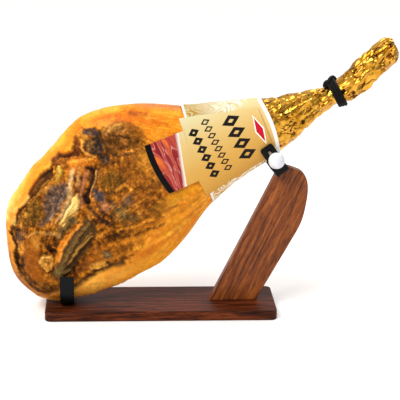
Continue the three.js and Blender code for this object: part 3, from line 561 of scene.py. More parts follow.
# Strokes of the face: points, half width, colour, softness, strength, rise in mm
faceStrokes = {
    "rimShadeLeft": ([(22, 50), (9, 24), (0, -2)], 7, "#A9640E", 1.0, 0.95, 0),
    "rimShadeLow": ([(-2, -4), (-8, -34), (-4, -62), (11, -86), (32, -99), (56, -106)],
                    8, "#884808", 1.0, 0.95, 0),
    "innerEdgeOrange": ([(36, 66), (62, 83), (92, 104), (118, 119), (150, 131),
                         (182, 134), (196, 148), (221, 160), (244, 156)], 7, "#EA7F18", 0.8, 0.85, 0),
    "innerEdgeLeft": ([(30, 60), (16, 34), (6, 4), (-4, -30)], 5, "#E08A1C", 0.8, 0.75, 0),
    "topRed": ([(250, 152), (272, 146), (302, 136), (318, 126)], 6, "#CE5C12", 1.0, 0.6, 0),
    "topDark": ([(284, 138), (305, 126), (322, 114)], 6, "#C0660F", 0.9, 0.65, 0),
    "leftGrooveUpper": ([(77, 80), (52, 67), (30, 49), (22, 40)], 2.6, "#3A1E0A", 0.7, 0.92, -2),
    "leftGroove": ([(22, 40), (20, 20), (13, 2), (5, -12), (1, -31)], 3, "#2C160A", 0.7, 0.9, -2.2),
    "leftBlack": ([(9, 1), (5, -10), (1, -27)], 3, "#1A0E06", 0.7, 0.9, -1.5),
    "lowerGroove": ([(1, -31), (2, -54), (10, -76), (24, -89), (44, -94)], 4.4, "#492A0C", 0.8, 0.9, -1.8),
    "lowerGrooveLight": ([(-3, -50), (5, -79), (22, -97), (46, -99)], 2, "#B8742A", 0.8, 0.6, 0),
    "lowerInner": ([(20, -8), (11, -30), (10, -52), (17, -70), (30, -83)], 2.2, "#4E3012", 0.8, 0.8, -1),
    "notch": ([(151, 125), (165, 128), (178, 121), (193, 121)], 4, "#4E220A", 0.6, 0.95, -2.4),
    "notchBelow": ([(152, 118), (168, 116), (184, 114)], 4, "#7A4212", 0.8, 0.75, -0.8),
    "wedgeEdge": ([(143, 113), (124, 112), (102, 103), (84, 90)], 2.4, "#2A1406", 0.7, 0.85, -0.8),
    "wedgeStripe": ([(128, 98), (112, 91), (97, 83)], 2, "#A8722C", 0.8, 0.8, 0.6),
    "wedgeStripeLow": ([(138, 97), (122, 87), (108, 80)], 1.8, "#8A5A20", 0.8, 0.7, 0.4),
    # painted highlight on the lump
    "lumpHighlight": ([(156, 109), (153, 99)], 2, "#E2BC58", 0.9, 0.8, 0.5),
    "darkWedge": ([(203, 142), (204, 129), (196, 119)], 3.4, "#6E3410", 0.7, 0.85, -1.2),
    "ringLeft": ([(218, 132), (204, 124), (207, 110), (220, 97)], 1.8, "#D08A34", 0.8, 0.8, 0.6),
    "ringLight": ([(229, 123), (219, 120), (214, 113)], 2, "#A06C2C", 0.9, 0.6, 0.5),
    "ringDark": ([(240, 126), (236, 108), (231, 94)], 3, "#231C1A", 0.8, 0.85, -1.2),
    "knuckleSide": ([(247, 132), (244, 114), (247, 96), (258, 82), (278, 76)], 3, "#402A14", 0.8, 0.8, -1.8),
    "knuckleArc": ([(250, 126), (262, 133), (280, 136), (298, 126), (310, 108)],
                   2.2, "#8A5420", 0.9, 0.7, -0.6),
    "knuckleRidge": ([(256, 124), (270, 129), (286, 127)], 2.4, "#B07A34", 0.9, 0.7, 0.6),
    "knuckleCreaseA": ([(262, 118), (276, 112), (290, 98)], 2, "#3E260C", 0.9, 0.7, -0.6),
    "knuckleCreaseB": ([(250, 100), (264, 92), (280, 88)], 2.4, "#412A10", 0.9, 0.7, -0.6),
    "knuckleFlecks": ([(258, 84), (276, 80), (294, 76)], 2, "#C27A2C", 0.9, 0.6, 0.4),
    # painted highlights in the orange zone
    "orangeHighlights": ([(178, 107), (197, 104), (214, 96)], 2.5, "#EE9C3A", 0.9, 0.7, 0.6),
    "peachLeft": ([(174, 95), (163, 82), (154, 70)], 3.4, "#DCAC70", 0.9, 0.75, 0.6),
    "peachMiddle": ([(189, 94), (178, 82), (170, 68)], 2.6, "#CC9154", 0.9, 0.65, 0.5),
    "pinkColumn": ([(193, 80), (177, 65), (163, 48), (158, 32)], 4.5, "#A2643F", 0.7, 0.8, 0.9),
    "pinkColumnEdge": ([(184, 78), (170, 62), (158, 46)], 1.4, "#6A3C24", 0.9, 0.7, -0.8),
    "foldLine": ([(198, 88), (205, 81), (201, 68), (188, 56), (175, 43), (171, 30)],
                 3.4, "#2E1D1A", 0.6, 0.95, -3),
    "foldArc": ([(216, 78), (208, 66), (192, 51), (183, 38)], 2.2, "#553A28", 0.8, 0.8, -1),
    "foldArcLight": ([(210, 76), (201, 62), (186, 47)], 1.6, "#A8783C", 0.9, 0.7, 0.6),
    "blueArm": ([(192, 46), (196, 32), (195, 20)], 3, "#38363A", 0.8, 0.75, -0.5),
    "clusterLeft": ([(170, 22), (173, 8), (176, -7), (186, -20)], 4.4, "#3C2418", 0.7, 0.88, -1.2),
    "clusterMiddle": ([(184, 22), (186, 0)], 3, "#452C1E", 0.8, 0.75, -0.8),
    "clusterRight": ([(210, 14), (211, -6)], 3.4, "#54402A", 0.8, 0.7, -0.6),
    "discFlecks": ([(226, 27), (244, 31), (250, 18)], 2.4, "#D0842C", 0.9, 0.75, 0.5),
    "bladeBandLight": ([(146, 70), (130, 57), (112, 43), (92, 33)], 2.4, "#85705F", 0.9, 0.7, 0.4),
    # painted highlight on the bone
    "boneHighlight": ([(147, 42), (138, 35), (126, 30)], 2.4, "#FADC92", 0.9, 0.8, 0.6),
    "boneEdge": ([(151, 27), (134, 22), (114, 18), (98, 13)], 1.8, "#8A5A22", 0.9, 0.75, -1),
    "smallMuscle": ([(132, 15), (116, 7), (98, -4)], 5, "#4C3A20", 0.7, 0.88, 0.8),
    "muscleLight": ([(126, 14), (110, 5)], 1.6, "#94703A", 0.9, 0.7, 0.4),
    "orangeStrip": ([(142, 2), (128, -3), (112, -11)], 2.4, "#CE7E2A", 0.8, 0.9, 0.6),
    "bandLight": ([(108, -13), (90, -26), (74, -42)], 1.4, "#E49A3A", 1.0, 0.7, 0.3),
    "bandShade": ([(106, -3), (88, -14), (78, -22), (66, -40)], 1.8, "#5C3410", 0.9, 0.75, -0.8),
    # painted highlight along the mound's lit top edge
    "moundTopHighlight": ([(47, 20), (60, 24), (73, 18)], 1.6, "#B88848", 1.0, 0.6, 0.4),
    "tanPlateau": ([(76, 14), (90, 8), (98, 0)], 4, "#9A7238", 0.9, 0.6, 0.4),
    "holeLine": ([(67, -8), (71, -19), (79, -30)], 1.8, "#34200E", 0.8, 0.8, -1.2),
    "flakeLight": ([(44, -30), (52, -22), (64, -27)], 1.4, "#DCA854", 0.9, 0.8, 0.5),
    "flakeFold": ([(52, -30), (58, -40), (54, -48)], 1.4, "#8A5A1E", 0.9, 0.7, -0.5),
    "flakeShade": ([(41, -44), (48, -54), (60, -53)], 1.8, "#5A3410", 0.8, 0.8, -1),
    "leafStreakA": ([(156, -2), (132, -15), (108, -29), (84, -45)], 1.2, "#8A6430", 1.0, 0.85, 0.4),
    "leafStreakB": ([(150, -20), (128, -29), (106, -41), (86, -52)], 1.2, "#9A6C30", 1.0, 0.85, 0.4),
    "leafStreakC": ([(146, -4), (122, -16), (98, -31), (78, -46)], 1.1, "#6E5630", 1.0, 0.8, 0.4),
    "leafStreakD": ([(152, -12), (128, -22), (102, -36)], 1.0, "#7A5A2C", 1.0, 0.8, 0.3),
    "leafGold": ([(149, -27), (133, -31), (114, -38), (91, -52)], 1.3, "#C08A34", 1.0, 0.85, 0.4),
    "leafDark": ([(158, -8), (134, -19), (108, -34), (84, -50)], 1.1, "#2A1E0C", 0.9, 0.85, -0.5),
    "leafDarkLow": ([(146, -32), (127, -39), (104, -50), (84, -59), (70, -66)],
                    3.2, "#2C1C0C", 0.8, 0.88, -0.8),
    "leafTipLight": ([(64, -60), (72, -64), (86, -65)], 2.6, "#7C6232", 0.9, 0.75, 0),
    "meatStreakA": ([(118, -58), (146, -62), (176, -66), (206, -74)], 1.6, "#6A3C10", 1.0, 0.6, -0.4),
    "meatStreakB": ([(112, -84), (140, -80), (172, -82), (200, -88)], 2, "#B8701C", 1.0, 0.6, 0.3),
    "meatStreakC": ([(168, -54), (190, -64), (212, -72)], 1.8, "#B46A18", 1.0, 0.6, 0.3),
    "redA": ([(102, -71), (127, -61), (146, -50)], 2, "#84461A", 0.9, 0.75, -0.5),
    "redB": ([(87, -80), (109, -77), (134, -71)], 2, "#7E3E18", 0.9, 0.75, -0.5),
    "crack": ([(174, -42), (190, -52), (206, -59), (228, -61), (252, -64), (273, -67)],
              1.5, "#4E2808", 0.8, 0.95, -1.6),
    "crackUpper": ([(193, -30), (212, -30), (233, -41), (261, -45), (291, -45), (319, -48)],
                   1.5, "#84500F", 0.9, 0.85, -1),
    "crackThird": ([(228, -50), (252, -54), (277, -55)], 1.3, "#8E5410", 0.9, 0.75, -0.8),
    "crackRidge": ([(195, -40), (228, -46), (260, -49)], 2.2, "#CE8024", 0.9, 0.7, 0.7),
    "crackRidgeLow": ([(190, -60), (214, -68), (246, -72)], 2.6, "#C87A20", 0.9, 0.6, 0.6),
    "fatStreakA": ([(272, -83), (297, -79), (327, -73), (352, -67)], 2.6, "#C0700E", 1.0, 0.65, 0),
    "fatStreakB": ([(226, -95), (256, -96), (289, -89)], 2.6, "#B8640C", 1.0, 0.65, 0),
    "fatStreakC": ([(262, -58), (292, -58), (322, -58), (348, -52)], 2, "#B4690E", 1.0, 0.65, -0.3),
    "fatBrightA": ([(205, -83), (242, -88), (282, -86), (315, -80)], 3, "#EBA22C", 1.0, 0.6, 0.2),
    "fatBrightB": ([(304, -29), (330, -30), (352, -31)], 5, "#D68C0C", 1.0, 0.7, 0.2),
    "fatBrightC": ([(288, -69), (312, -66), (340, -60)], 2.6, "#E89A1C", 1.0, 0.6, 0.2),
    "fatRedLow": ([(208, -96), (226, -99), (242, -95)], 6, "#C8680E", 1.0, 0.65, 0),
    "bottomBand": ([(60, -100), (80, -100), (98, -96), (124, -93), (150, -95), (175, -99)],
                   4.2, "#4E300E", 0.8, 0.95, -1.8),
    "topStreakA": ([(268, 150), (300, 141), (332, 126), (362, 112)], 2.4, "#D4651A", 1.0, 0.7, 0),
    "topStreakB": ([(286, 134), (318, 118), (346, 104)], 2.4, "#D86A14", 1.0, 0.65, 0),
    "topBright": ([(344, 121), (360, 111), (382, 99)], 4, "#FCAE34", 1.3, 0.5, 0.3),
    "topBrightLeft": ([(232, 163), (262, 160), (290, 153)], 5, "#FFB83C", 1.0, 0.6, 0),
    "topSmudge": ([(308, 136), (320, 130), (332, 122)], 3, "#8C4618", 1.0, 0.8, -0.3),
    "topSmudgeLow": ([(338, 108), (350, 98), (358, 90)], 2.4, "#B8600C", 1.0, 0.7, -0.2),
    "topPink": ([(322, 146), (345, 133), (369, 120), (392, 104)], 6, "#A8644A", 0.8, 0.85, 0),
}


def hamPlaces():
    steps = np.linspace(0, math.pi / 2, ham["hipSteps"] + 1)[1:]
    hip = leg["hipEnd"] + leg["hipRounding"] * (1 - np.cos(steps))
    runs = [hip]
    for end, gap in ((ham["coveredFrom"], ham["rowGap"]), (leg["wrapStart"], ham["coveredGap"])):
        start = runs[-1][-1]
        runs.append(np.linspace(start, end, int((end - start) / gap) + 1)[1:])
    return np.concatenate(runs)


def flowAt(s, n):
    # The fibres' direction at every point, a mean of the hints around it
    total = np.zeros(s.shape + (2,))
    for hintS, hintN, degrees in fibreLie:
        weight = 1 / (((s - hintS) ** 2 + (n - hintN) ** 2) + ham["hintCore"] ** 2) ** 1.5
        double = math.radians(degrees) * 2  # a fibre has no front or back
        total += weight[..., None] * np.array([math.cos(double), math.sin(double)])
    angle = np.arctan2(total[..., 1], total[..., 0]) / 2
    return np.cos(angle), np.sin(angle)


def fibreNoise(s, n, y):
    # Noise smeared along the fibres
    flowS, flowN = flowAt(s, n)
    total = np.zeros(s.shape)
    steps = np.linspace(-ham["fibreReach"], ham["fibreReach"], 2 * ham["fibreSamples"] + 1)
    for step in steps:
        place = np.stack([s + flowS * step, n + flowN * step, y], -1)
        total += noiseAt(place, ham["fibreWidth"], 1, ham["fibreShift"])
    return total


def hamGrain(s, n, y, out):
    # Noise of every size, and the noise along the fibres, which only the front needs
    solid = np.stack([s, n, ham["depthGrain"] * y], -1)
    fibre = np.zeros(s.shape)
    front = out[0] > -0.1
    fibre[:, front] = even(fibreNoise(s[:, front], n[:, front], y[:, front]))
    return [even(noiseAt(solid, *kind)) for kind in ham["noises"]] + [fibre]


def warped(s, n, grain, amounts):
    # Places shifted by noise, so that what is drawn there has uneven edges
    _, middle, fine, _, shiftS, shiftN, _ = grain
    large, fineS, middleN = amounts
    return s + large * shiftS + fineS * fine, n + large * shiftN + middleN * middle


def paintRim(s, n, out, grain):
    # The fat of the rim and the shank, and the skin behind
    wide, middle, _, patch, _, _, fibre = grain
    rimS, rimN = warped(s, n, grain, ham["rimWarp"])
    seen, behind = ease(*ham["seenFrom"], out), ease(*ham["skinFrom"], -out)
    shank, upper = ease(*ham["fatFrom"], s), ease(*ham["upperFat"], s)
    dark = 0.55 * ease(180, 380, s) + 0.2 * wide + 0.06 * patch
    tint = np.broadcast_to(np.array(colour(ham["fat"])[:3]), s.shape + (3,))
    for centre, size, turn, code, soft, strength in fatSpots.values():
        tint = mixTint(tint, code, ovalWeight(rimS, rimN, centre, size, turn, soft) * strength * seen)
    for name, weight in (
        ("fatDeep", ease(0.2, 1.8, wide + 0.4 * middle) * (0.3 + 0.4 * shank)),
        ("fatDeep", ease(0.3, 1.8, fibre) * 0.7 * shank * seen),
        ("fatPale", ease(0.5, 1.8, -fibre) * 0.4 * shank * seen),
        ("skin", behind * np.clip(0.55 + 0.25 * wide, 0, 1)),
        ("skinDark", behind * np.clip(dark, 0, 0.7)),
        ("fatRed", ease(0.3, 1.8, 0.7 * middle + 0.7 * patch) * 0.6 * upper * ease(60, 110, n)),
        ("fatPale", ease(0.6, 2.0, patch - 0.5 * middle) * 0.4 * upper),
    ):
        tint = mixTint(tint, ham[name], weight)
    return tint


def paintLean(s, n, out, grain, tint):
    # The lean inside its outline, which runs out into the fat of the shank
    wide, middle, fine, _, _, _, fibre = grain
    inside = insideDistance(*warped(s, n, grain, ham["leanWarp"]), leanOutline)
    inLean = ease(*ham["leanFrom"], inside) * ease(*ham["faceFrom"], out)
    inLean = inLean * (1 - ease(270, 335, s + 0.25 * n + 5 * middle) * 0.9)
    inLean = inLean * (1 - ease(-20, -85, n) * ease(180, 260, s) * 0.8)
    tone = 0.55 * wide + 0.65 * middle + 0.12 * fine - 0.3 * fibre
    # Painted shade: the lean is darker towards the bottom of the face, at low n. It is also darker towards
    # the shank.
    tone = tone - 0.45 * ease(10, -60, n) - 0.3 * ease(*ham["upperFat"], s)
    lean = shadeRamp(tone, ham["leanShades"])
    return tint + (lean - tint) * inLean[..., None], inLean


def paintForms(s, n, out, grain, tint, rise, surfaces):
    # Everything drawn on the face: each form tints it, lifts or sinks it and may change its surface
    patch = grain[3]
    bentS, bentN = warped(s, n, grain, ham["formWarp"])
    facing, seen = ease(*ham["faceFrom"], out), ease(*ham["seenFrom"], out)
    spotty, broken = ease(-2.8, -1.0, patch), 0.4 + 0.6 * ease(-2.4, -0.9, patch)
    for name, (outline, soft, code, strength, lift) in faceFields.items():
        weight = ease(-soft, soft, insideDistance(bentS, bentN, outline)) * facing
        for kind, names in ham["surfaces"].items():
            if name in names:
                surfaces[kind] = np.maximum(surfaces[kind], weight)
        tint, rise = mixTint(tint, code, weight * strength), rise + lift * weight
    for centre, size, turn, code, soft, strength, lift in faceSpots.values():
        weight = ovalWeight(bentS, bentN, centre, size, turn, soft) * facing * spotty
        tint, rise = mixTint(tint, code, weight * strength), rise + lift * weight
    for points, halfWidth, code, soft, strength, lift in faceStrokes.values():
        weight = strokeWeight(bentS, bentN, points, halfWidth, soft) * seen * broken
        tint, rise = mixTint(tint, code, weight * strength), rise + lift * weight
    calm = 0.7 * ovalWeight(bentS, bentN, *ham["calmMeat"]) * facing
    surfaces["smooth"] = np.maximum(surfaces["smooth"], calm)
    return tint, rise


def paintHam(s, n, y, out):
    # Gives the colour, the relief in mm and how lean each point is
    grain = hamGrain(s, n, y, out)
    wide, middle, fine, patch, shiftS, _, fibre = grain
    tint = paintRim(s, n, out, grain)
    tint, inLean = paintLean(s, n, out, grain, tint)
    rise = -ham["leanDepth"] * inLean + 0.25 * wide * inLean
    surfaces = {"smooth": np.zeros(s.shape), "rough": inLean, "blotchy": np.zeros(s.shape)}
    tint, rise = paintForms(s, n, out, grain, tint, rise, surfaces)
    calm, coarse, blotchy = surfaces.values()

    # Relief of the surface itself: granular on the lean, gently lumpy on the fat
    shank = 0.3 * ease(*ham["faceFrom"], out) * ease(*ham["fatFrom"], s)
    rough = np.maximum(coarse, shank) * (1 - 0.8 * calm)
    swell = 0.45 * shiftS * (1 - inLean) * (1 - 0.8 * ease(120, 200, s))
    rise = rise + rough * (0.22 * middle + 0.035 * fine - 0.1 * fibre)
    rise = rise + (1 - rough) * (0.16 * middle + 0.02 * fine + swell)

    # Painted shade: the hollows of the relief are darkened, and the noise mottles the colour
    hollow = np.clip(blur(rise, ham["hollowPasses"]) - rise, -1.2, 1.5) * (1 - 0.7 * calm)
    swing = ham["fatMottle"] + (ham["mottle"] - ham["fatMottle"]) * rough
    mottled = swing * (0.8 * middle + 0.4 * fine - 0.5 * fibre)
    speckle = ham["blotches"] * blotchy * (even(patch + middle) + fine)
    shade = np.exp(-ham["paintedHollowShade"] * hollow * (0.3 + 0.7 * coarse) + mottled + speckle)
    return np.clip(tint * shade[..., None], 0.002, 1), rise, coarse


def makeHam():
    u = roundTurns(ham["columns"])
    turns = u + ham["frontDenser"] * (np.cos(u) - 1)
    s, n, y, across, out = readLeg(hamPlaces(), turns, ham["blurPasses"])
    tint, rise, lean = paintHam(s, n, y, out)
    sinkFrom, sinkTo, sunk = ham["reliefSinks"]
    rise = rise * (1 - ease(*ham["reliefFades"], s)) * (1 - sunk * ease(sinkFrom, sinkTo, s))
    rise = rise * ease(leg["hipEnd"], leg["hipEnd"] + ham["hipFade"], s)
    points = fromLeg(s, n + rise * across, y - rise * out)
    points[..., 2] = np.maximum(points[..., 2], leg["restHeight"] * millimetre)
    points[..., 0] = np.maximum(points[..., 0], cadBox[0].x + ham["boxGap"] * millimetre)
    ends = [(place, legCentre(place, 1), 0) for place in (leg["hipEnd"], leg["wrapStart"])]
    mesh = rolledMesh("ham_skin", closeEnds(points, *ends), {"tint": withEnds(tint), "lean": withEnds(lean)})
    finishPiece(mesh, "ham_skin", "ham_on_stand", "ham", curedMeat())


def curedMeat():
    # Cured lean and fat, air dried: oily fat, and lean that has dried rough and dull
    material, tree, shader, place = newMaterial("curedMeatAndFat")
    tint = addNode(tree, "VertexColor", layer_name="tint").outputs["Color"]
    lean = addNode(tree, "Attribute", attribute_name="lean").outputs["Fac"]
    grain = addNode(tree, "TexNoise", {"Vector": place, "Scale": perMetre(ham["grain"]), "Detail": 5,
                                       "Roughness": 0.7}).outputs["Fac"]
    pores = addNode(tree, "TexNoise", {"Vector": place, "Scale": perMetre(ham["pores"]), "Detail": 2,
                                       "Roughness": 0.6}).outputs["Fac"]
    dry = addNode(tree, "ValToRGB", {"Fac": grain},
                  stops=[(0.32, "#B8A088"), (0.5, 1.0), (0.68, (1.2, 1.16, 1.06, 1))]).outputs["Color"]
    oily = addNode(tree, "ValToRGB", {"Fac": grain},
                   stops=[(0.32, "#EFE0D0"), (0.5, 1.0), (0.68, 1.06)]).outputs["Color"]
    mottle = addNode(tree, "Mix", {0: lean, 6: oily, 7: dry}, data_type="RGBA").outputs[2]
    base = addNode(tree, "Mix", {0: 1.0, 6: tint, 7: mottle}, data_type="RGBA", blend_type="MULTIPLY")
    rough = addNode(tree, "MapRange", {"Value": grain, "From Min": 0.3, "From Max": 0.7,
                                       "To Min": 0.34, "To Max": 0.6})
    gleam = addNode(tree, "MapRange", {"Value": lean, "To Min": 0.13, "To Max": 0.05})
    bump = addNode(tree, "Bump", {"Height": grain, "Distance": 0.0008, "Strength": 0.3})
    fineBump = addNode(tree, "Bump", {"Height": pores, "Distance": 0.0003, "Strength": 0.5,
                                      "Normal": bump.outputs["Normal"]})
    connect(tree, shader, {"Base Color": base.outputs[2], "Roughness": rough.outputs["Result"],
                           "Specular IOR Level": gleam.outputs["Result"],
                           "Normal": fineBump.outputs["Normal"], "IOR": 1.45})
    return material


makeHam()
print("ham made")


# Foil
foil = {
    "rowGap": 1.25,
    "columns": 168,
    "blurPasses": 5,
    "endGap": 0.6,  # between the last row and the hoof's end
    "tipGap": 0.4,
    "looseFrom": 523,
    "looseRun": 14,
    "cordAt": 645,
    "cordReach": (9, 16),  # tight to the hoof under the cord, loose again past it
    "folds": 10,  # families of straight creases
    "foldSize": (9, 34),
    "foldDepth": 1.6,
    "foldLie": 0.55,  # below 1, so that most creases run along the leg
    "foldBend": (22, 2, 5.5),  # a noise's grain in mm, octaves and shift
    "pleatDepth": 1.7,
    "pleatsFrom": (520, 544),
    "pleatsRound": 6.5,
    "pleatTwist": 31,
    "pleatBend": (30, 2, 9.0),
    "most": 2.0,
    "seed": 5,
    "crumpledFrom": (540, 640),
    "facets": (4.762, 11.765),  # mm across the leg, next to the sleeve and at the hoof
    "facetStretch": (0.45, 1, 1),
    "facetTilt": (0.5, 0.85),
    "facetBend": 16.667,
    "facetBendBy": 0.02,
    "clouds": 11.111,
}


def foldRelief(solid, rng):
    # Creased sheet: triangle waves in random directions, which leave flat facets and sharp folds
    total = np.zeros(solid.shape[:-1])
    wobble = noiseAt(solid, *foil["foldBend"])
    for _ in range(foil["folds"]):
        direction = rng.normal(size=3)
        direction[0] *= foil["foldLie"]
        direction /= np.linalg.norm(direction)
        size = rng.uniform(*foil["foldSize"])
        phase = solid @ direction / size + rng.uniform(0, 1) + 0.35 * wobble
        total += (np.abs((phase % 1) * 2 - 1) - 0.5) * size / foil["foldSize"][1]
    return total


def makeFoil():
    rng = np.random.default_rng(foil["seed"])
    start, end = leg["wrapStart"] + leg["gap"], leg["hoofEnd"] - foil["endGap"]
    places = np.linspace(start, end, int((end - start) / foil["rowGap"]))
    turns = roundTurns(foil["columns"])
    s, n, y, across, out = readLeg(places, turns, foil["blurPasses"])
    solid = np.stack([s, n, y], -1)
    creases = foldRelief(solid, rng)
    wander = foil["pleatsRound"] * turns + s / foil["pleatTwist"] + 0.8 * noiseAt(solid, *foil["pleatBend"])
    pleats = np.abs(np.sin(wander)) - 0.6
    loose = ease(foil["looseFrom"], foil["looseFrom"] + foil["looseRun"], s)
    loose = loose * ease(*foil["cordReach"], np.abs(s - foil["cordAt"]))
    pleated = foil["pleatDepth"] * pleats * ease(*foil["pleatsFrom"], s)
    relief = np.minimum((foil["foldDepth"] * creases + pleated) * loose, foil["most"])
    points = fromLeg(s, n + relief * across, y - relief * out)
    points = np.clip(points, *(np.array(corner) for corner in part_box("foil_wrap")))
    tip = (leg["hoofEnd"] - foil["tipGap"], legCentre(leg["hoofEnd"], 1), 0)
    closed = closeEnds(points, (start, legCentre(start, 1), 0), tip)
    # The crease field feeds the painted shade that darkens the foil's creases
    crease, crumpled = creases + 0.5 * np.minimum(pleats, 0), ease(*foil["crumpledFrom"], s)
    mesh = rolledMesh("foil_skin", closed, {"crease": withEnds(crease), "crumpled": withEnds(crumpled)})
    finishPiece(mesh, "foil_skin", "ham_on_stand", "foil_wrap", goldFoil())


def goldFoil():
    # Gold-coloured aluminium foil, crumpled by hand: mirror-bright facets between sharp creases
    material, tree, shader, place = newMaterial("goldAluminiumFoil")
    crease = addNode(tree, "Attribute", attribute_name="crease").outputs["Fac"]
    crumpled = addNode(tree, "Attribute", attribute_name="crumpled").outputs["Fac"]
    normal = addNode(tree, "NewGeometry").outputs["Normal"]
    turned = addNode(tree, "Mapping", {"Vector": place, "Rotation": (0, -legTurn, 0)}, vector_type="TEXTURE")
    long = addNode(tree, "Mapping", {"Vector": turned.outputs["Vector"], "Scale": foil["facetStretch"]})
    wander = addNode(tree, "TexNoise", {"Vector": place, "Scale": perMetre(foil["facetBend"]), "Detail": 2})
    bend = addNode(tree, "VectorMath", {0: wander.outputs["Color"], 1: (foil["facetBendBy"],) * 3,
                                        2: long.outputs["Vector"]}, operation="MULTIPLY_ADD")
    bent = bend.outputs["Vector"]
    small, large = (addNode(tree, "TexVoronoi", {"Vector": bent, "Scale": perMetre(size)})
                    for size in foil["facets"])

    # Each cell tilts the normal its own way
    cells = addNode(tree, "Mix", {0: crumpled, 6: small.outputs["Color"], 7: large.outputs["Color"]},
                    data_type="RGBA").outputs[2]
    tilt = addNode(tree, "VectorMath", {0: cells, 1: (-0.5, -0.5, -0.5)}, operation="ADD")
    least, most = foil["facetTilt"]
    amount = addNode(tree, "MapRange", {"Value": crumpled, "To Min": least, "To Max": most})
    tilted = addNode(tree, "VectorMath", {0: tilt.outputs["Vector"], 1: amount.outputs["Result"], 2: normal},
                     operation="MULTIPLY_ADD")
    facet = addNode(tree, "VectorMath", {0: tilted.outputs["Vector"]}, operation="NORMALIZE")
    bump = addNode(tree, "Bump", {"Height": small.outputs["Distance"], "Distance": 0.0008, "Strength": 0.3,
                                  "Normal": facet.outputs["Vector"]})

    # Cloudy gold with painted shade: the colour darkens in the creases and at the rims of the cells
    cloud = addNode(tree, "TexNoise", {"Vector": place, "Scale": perMetre(foil["clouds"]), "Detail": 3})
    tone = addNode(tree, "ValToRGB", {"Fac": cloud.outputs["Fac"]},
                   stops=[(0.35, "#BA7E1E"), (0.65, "#E6AA42")])
    rims = addNode(tree, "TexVoronoi", {"Vector": bent, "Scale": perMetre(foil["facets"][1])},
                   feature="DISTANCE_TO_EDGE")
    inside = addNode(tree, "MapRange", {"Value": rims.outputs["Distance"], "From Max": 0.14, "To Min": -1.0})
    creaseShade = addNode(tree, "Math", {0: crease, 1: inside.outputs["Result"]}, operation="ADD").outputs[0]
    depth = addNode(tree, "MapRange", {"Value": creaseShade, "From Min": -1.3, "From Max": -0.5})
    base = addNode(tree, "Mix", {0: depth.outputs["Result"], 6: colour("#5A360A"), 7: tone.outputs["Color"]},
                   data_type="RGBA")
    connect(tree, shader, {"Base Color": base.outputs[2], "Normal": bump.outputs["Normal"],
                           "Metallic": 1.0, "Roughness": 0.24})
    return material


makeFoil()
print("foil made")


# Paper sleeve and front label
sleeve = {
    "from": 377,
    "to": 518,
    "leanFrom": 0.15,
    "leanTo": 0.11,
    "bulge": 5.5,  # the end towards the hoof is cut in a flat arc
    "bulgeHalf": 48,
    "loose": 1.0,
    "thickness": 0.8,
    "rows": 90,
    "columns": 150,
    "waves": 50,  # mm
    "waveLines": 34,  # contour lines over the swing of the noise
}
label = {
    "rows": 132,
    "bodyColumns": 110,
    "tongueColumns": 64,
    "outset": 3.0,
    "thickness": 0.8,
    "tongueFrom": 306,
    "tongueBulge": 5,
    "tongueTop": (77, 68),
    "tongueBottom": (-19, -24),
    "bodyFrom": (362, 380),
    "bodyTo": (505, 512),
    "bodyTop": (90, 41),
    "bodyBottom": (-56, -48),
    "middle": (440, 14, 0),
}
wrapped = {"from": 292, "to": 540, "gap": 3.0, "turns": 240, "blurPasses": 14}


def readWrapped():
    # The plain leg under the paper, and the outward normals of its sections
    places = np.arange(wrapped["from"], wrapped["to"], wrapped["gap"])
    s, n, y, _, _ = readLeg(places, roundTurns(wrapped["turns"]), wrapped["blurPasses"])
    dn, dy = np.roll(n, -1, 1) - np.roll(n, 1, 1), np.roll(y, -1, 1) - np.roll(y, 1, 1)
    length = np.hypot(dn, dy)
    return n, y, -dy / length, dn / length


legN, legY, normalN, normalY = readWrapped()


def onWrapped(s, turn, outset):
    # The leg at a place s and an angle, outset along the section's normal
    row = (np.asarray(s) - wrapped["from"]) / wrapped["gap"]
    column = (np.asarray(turn) / (2 * math.pi) % 1) * wrapped["turns"]
    n, y, outN, outY = (between(table, row, column) for table in (legN, legY, normalN, normalY))
    length = np.hypot(outN, outY)
    return n + outset * outN / length, y + outset * outY / length


def makeSleeve():
    shares = np.linspace(0, 1, sleeve["rows"])[:, None]
    turn = np.broadcast_to(roundTurns(sleeve["columns"]), (sleeve["rows"], sleeve["columns"]))

    def layer(outset):
        # A point's n depends on its s and the cut ends' s on their n, so both settle in a few rounds
        s = sleeve["from"] + (sleeve["to"] - sleeve["from"]) * shares + 0 * turn
        for _ in range(4):
            n, _ = onWrapped(s, turn, outset)
            first, last = sleeve["from"] + sleeve["leanFrom"] * n, sleeve["to"] + sleeve["leanTo"] * n
            last = last + sleeve["bulge"] * np.clip(1 - (n / sleeve["bulgeHalf"]) ** 2, 0, 1)
            s = first + (last - first) * shares
        n, y = onWrapped(s, turn, outset)
        return s, n, y

    outer, inner = layer(sleeve["loose"] + sleeve["thickness"]), layer(sleeve["loose"])
    skin = [np.concatenate([a, b[::-1], a[:1]]) for a, b in zip(outer, inner)]
    along = np.concatenate([shares, shares[::-1], shares[:1]]) + 0 * skin[0]
    mesh = rolledMesh("sleeve_paper", fromLeg(*skin), {"along": along, "across": skin[1]})
    finishPiece(mesh, "sleeve_paper", "ham_on_stand", "paper_sleeve", sleevePaper())


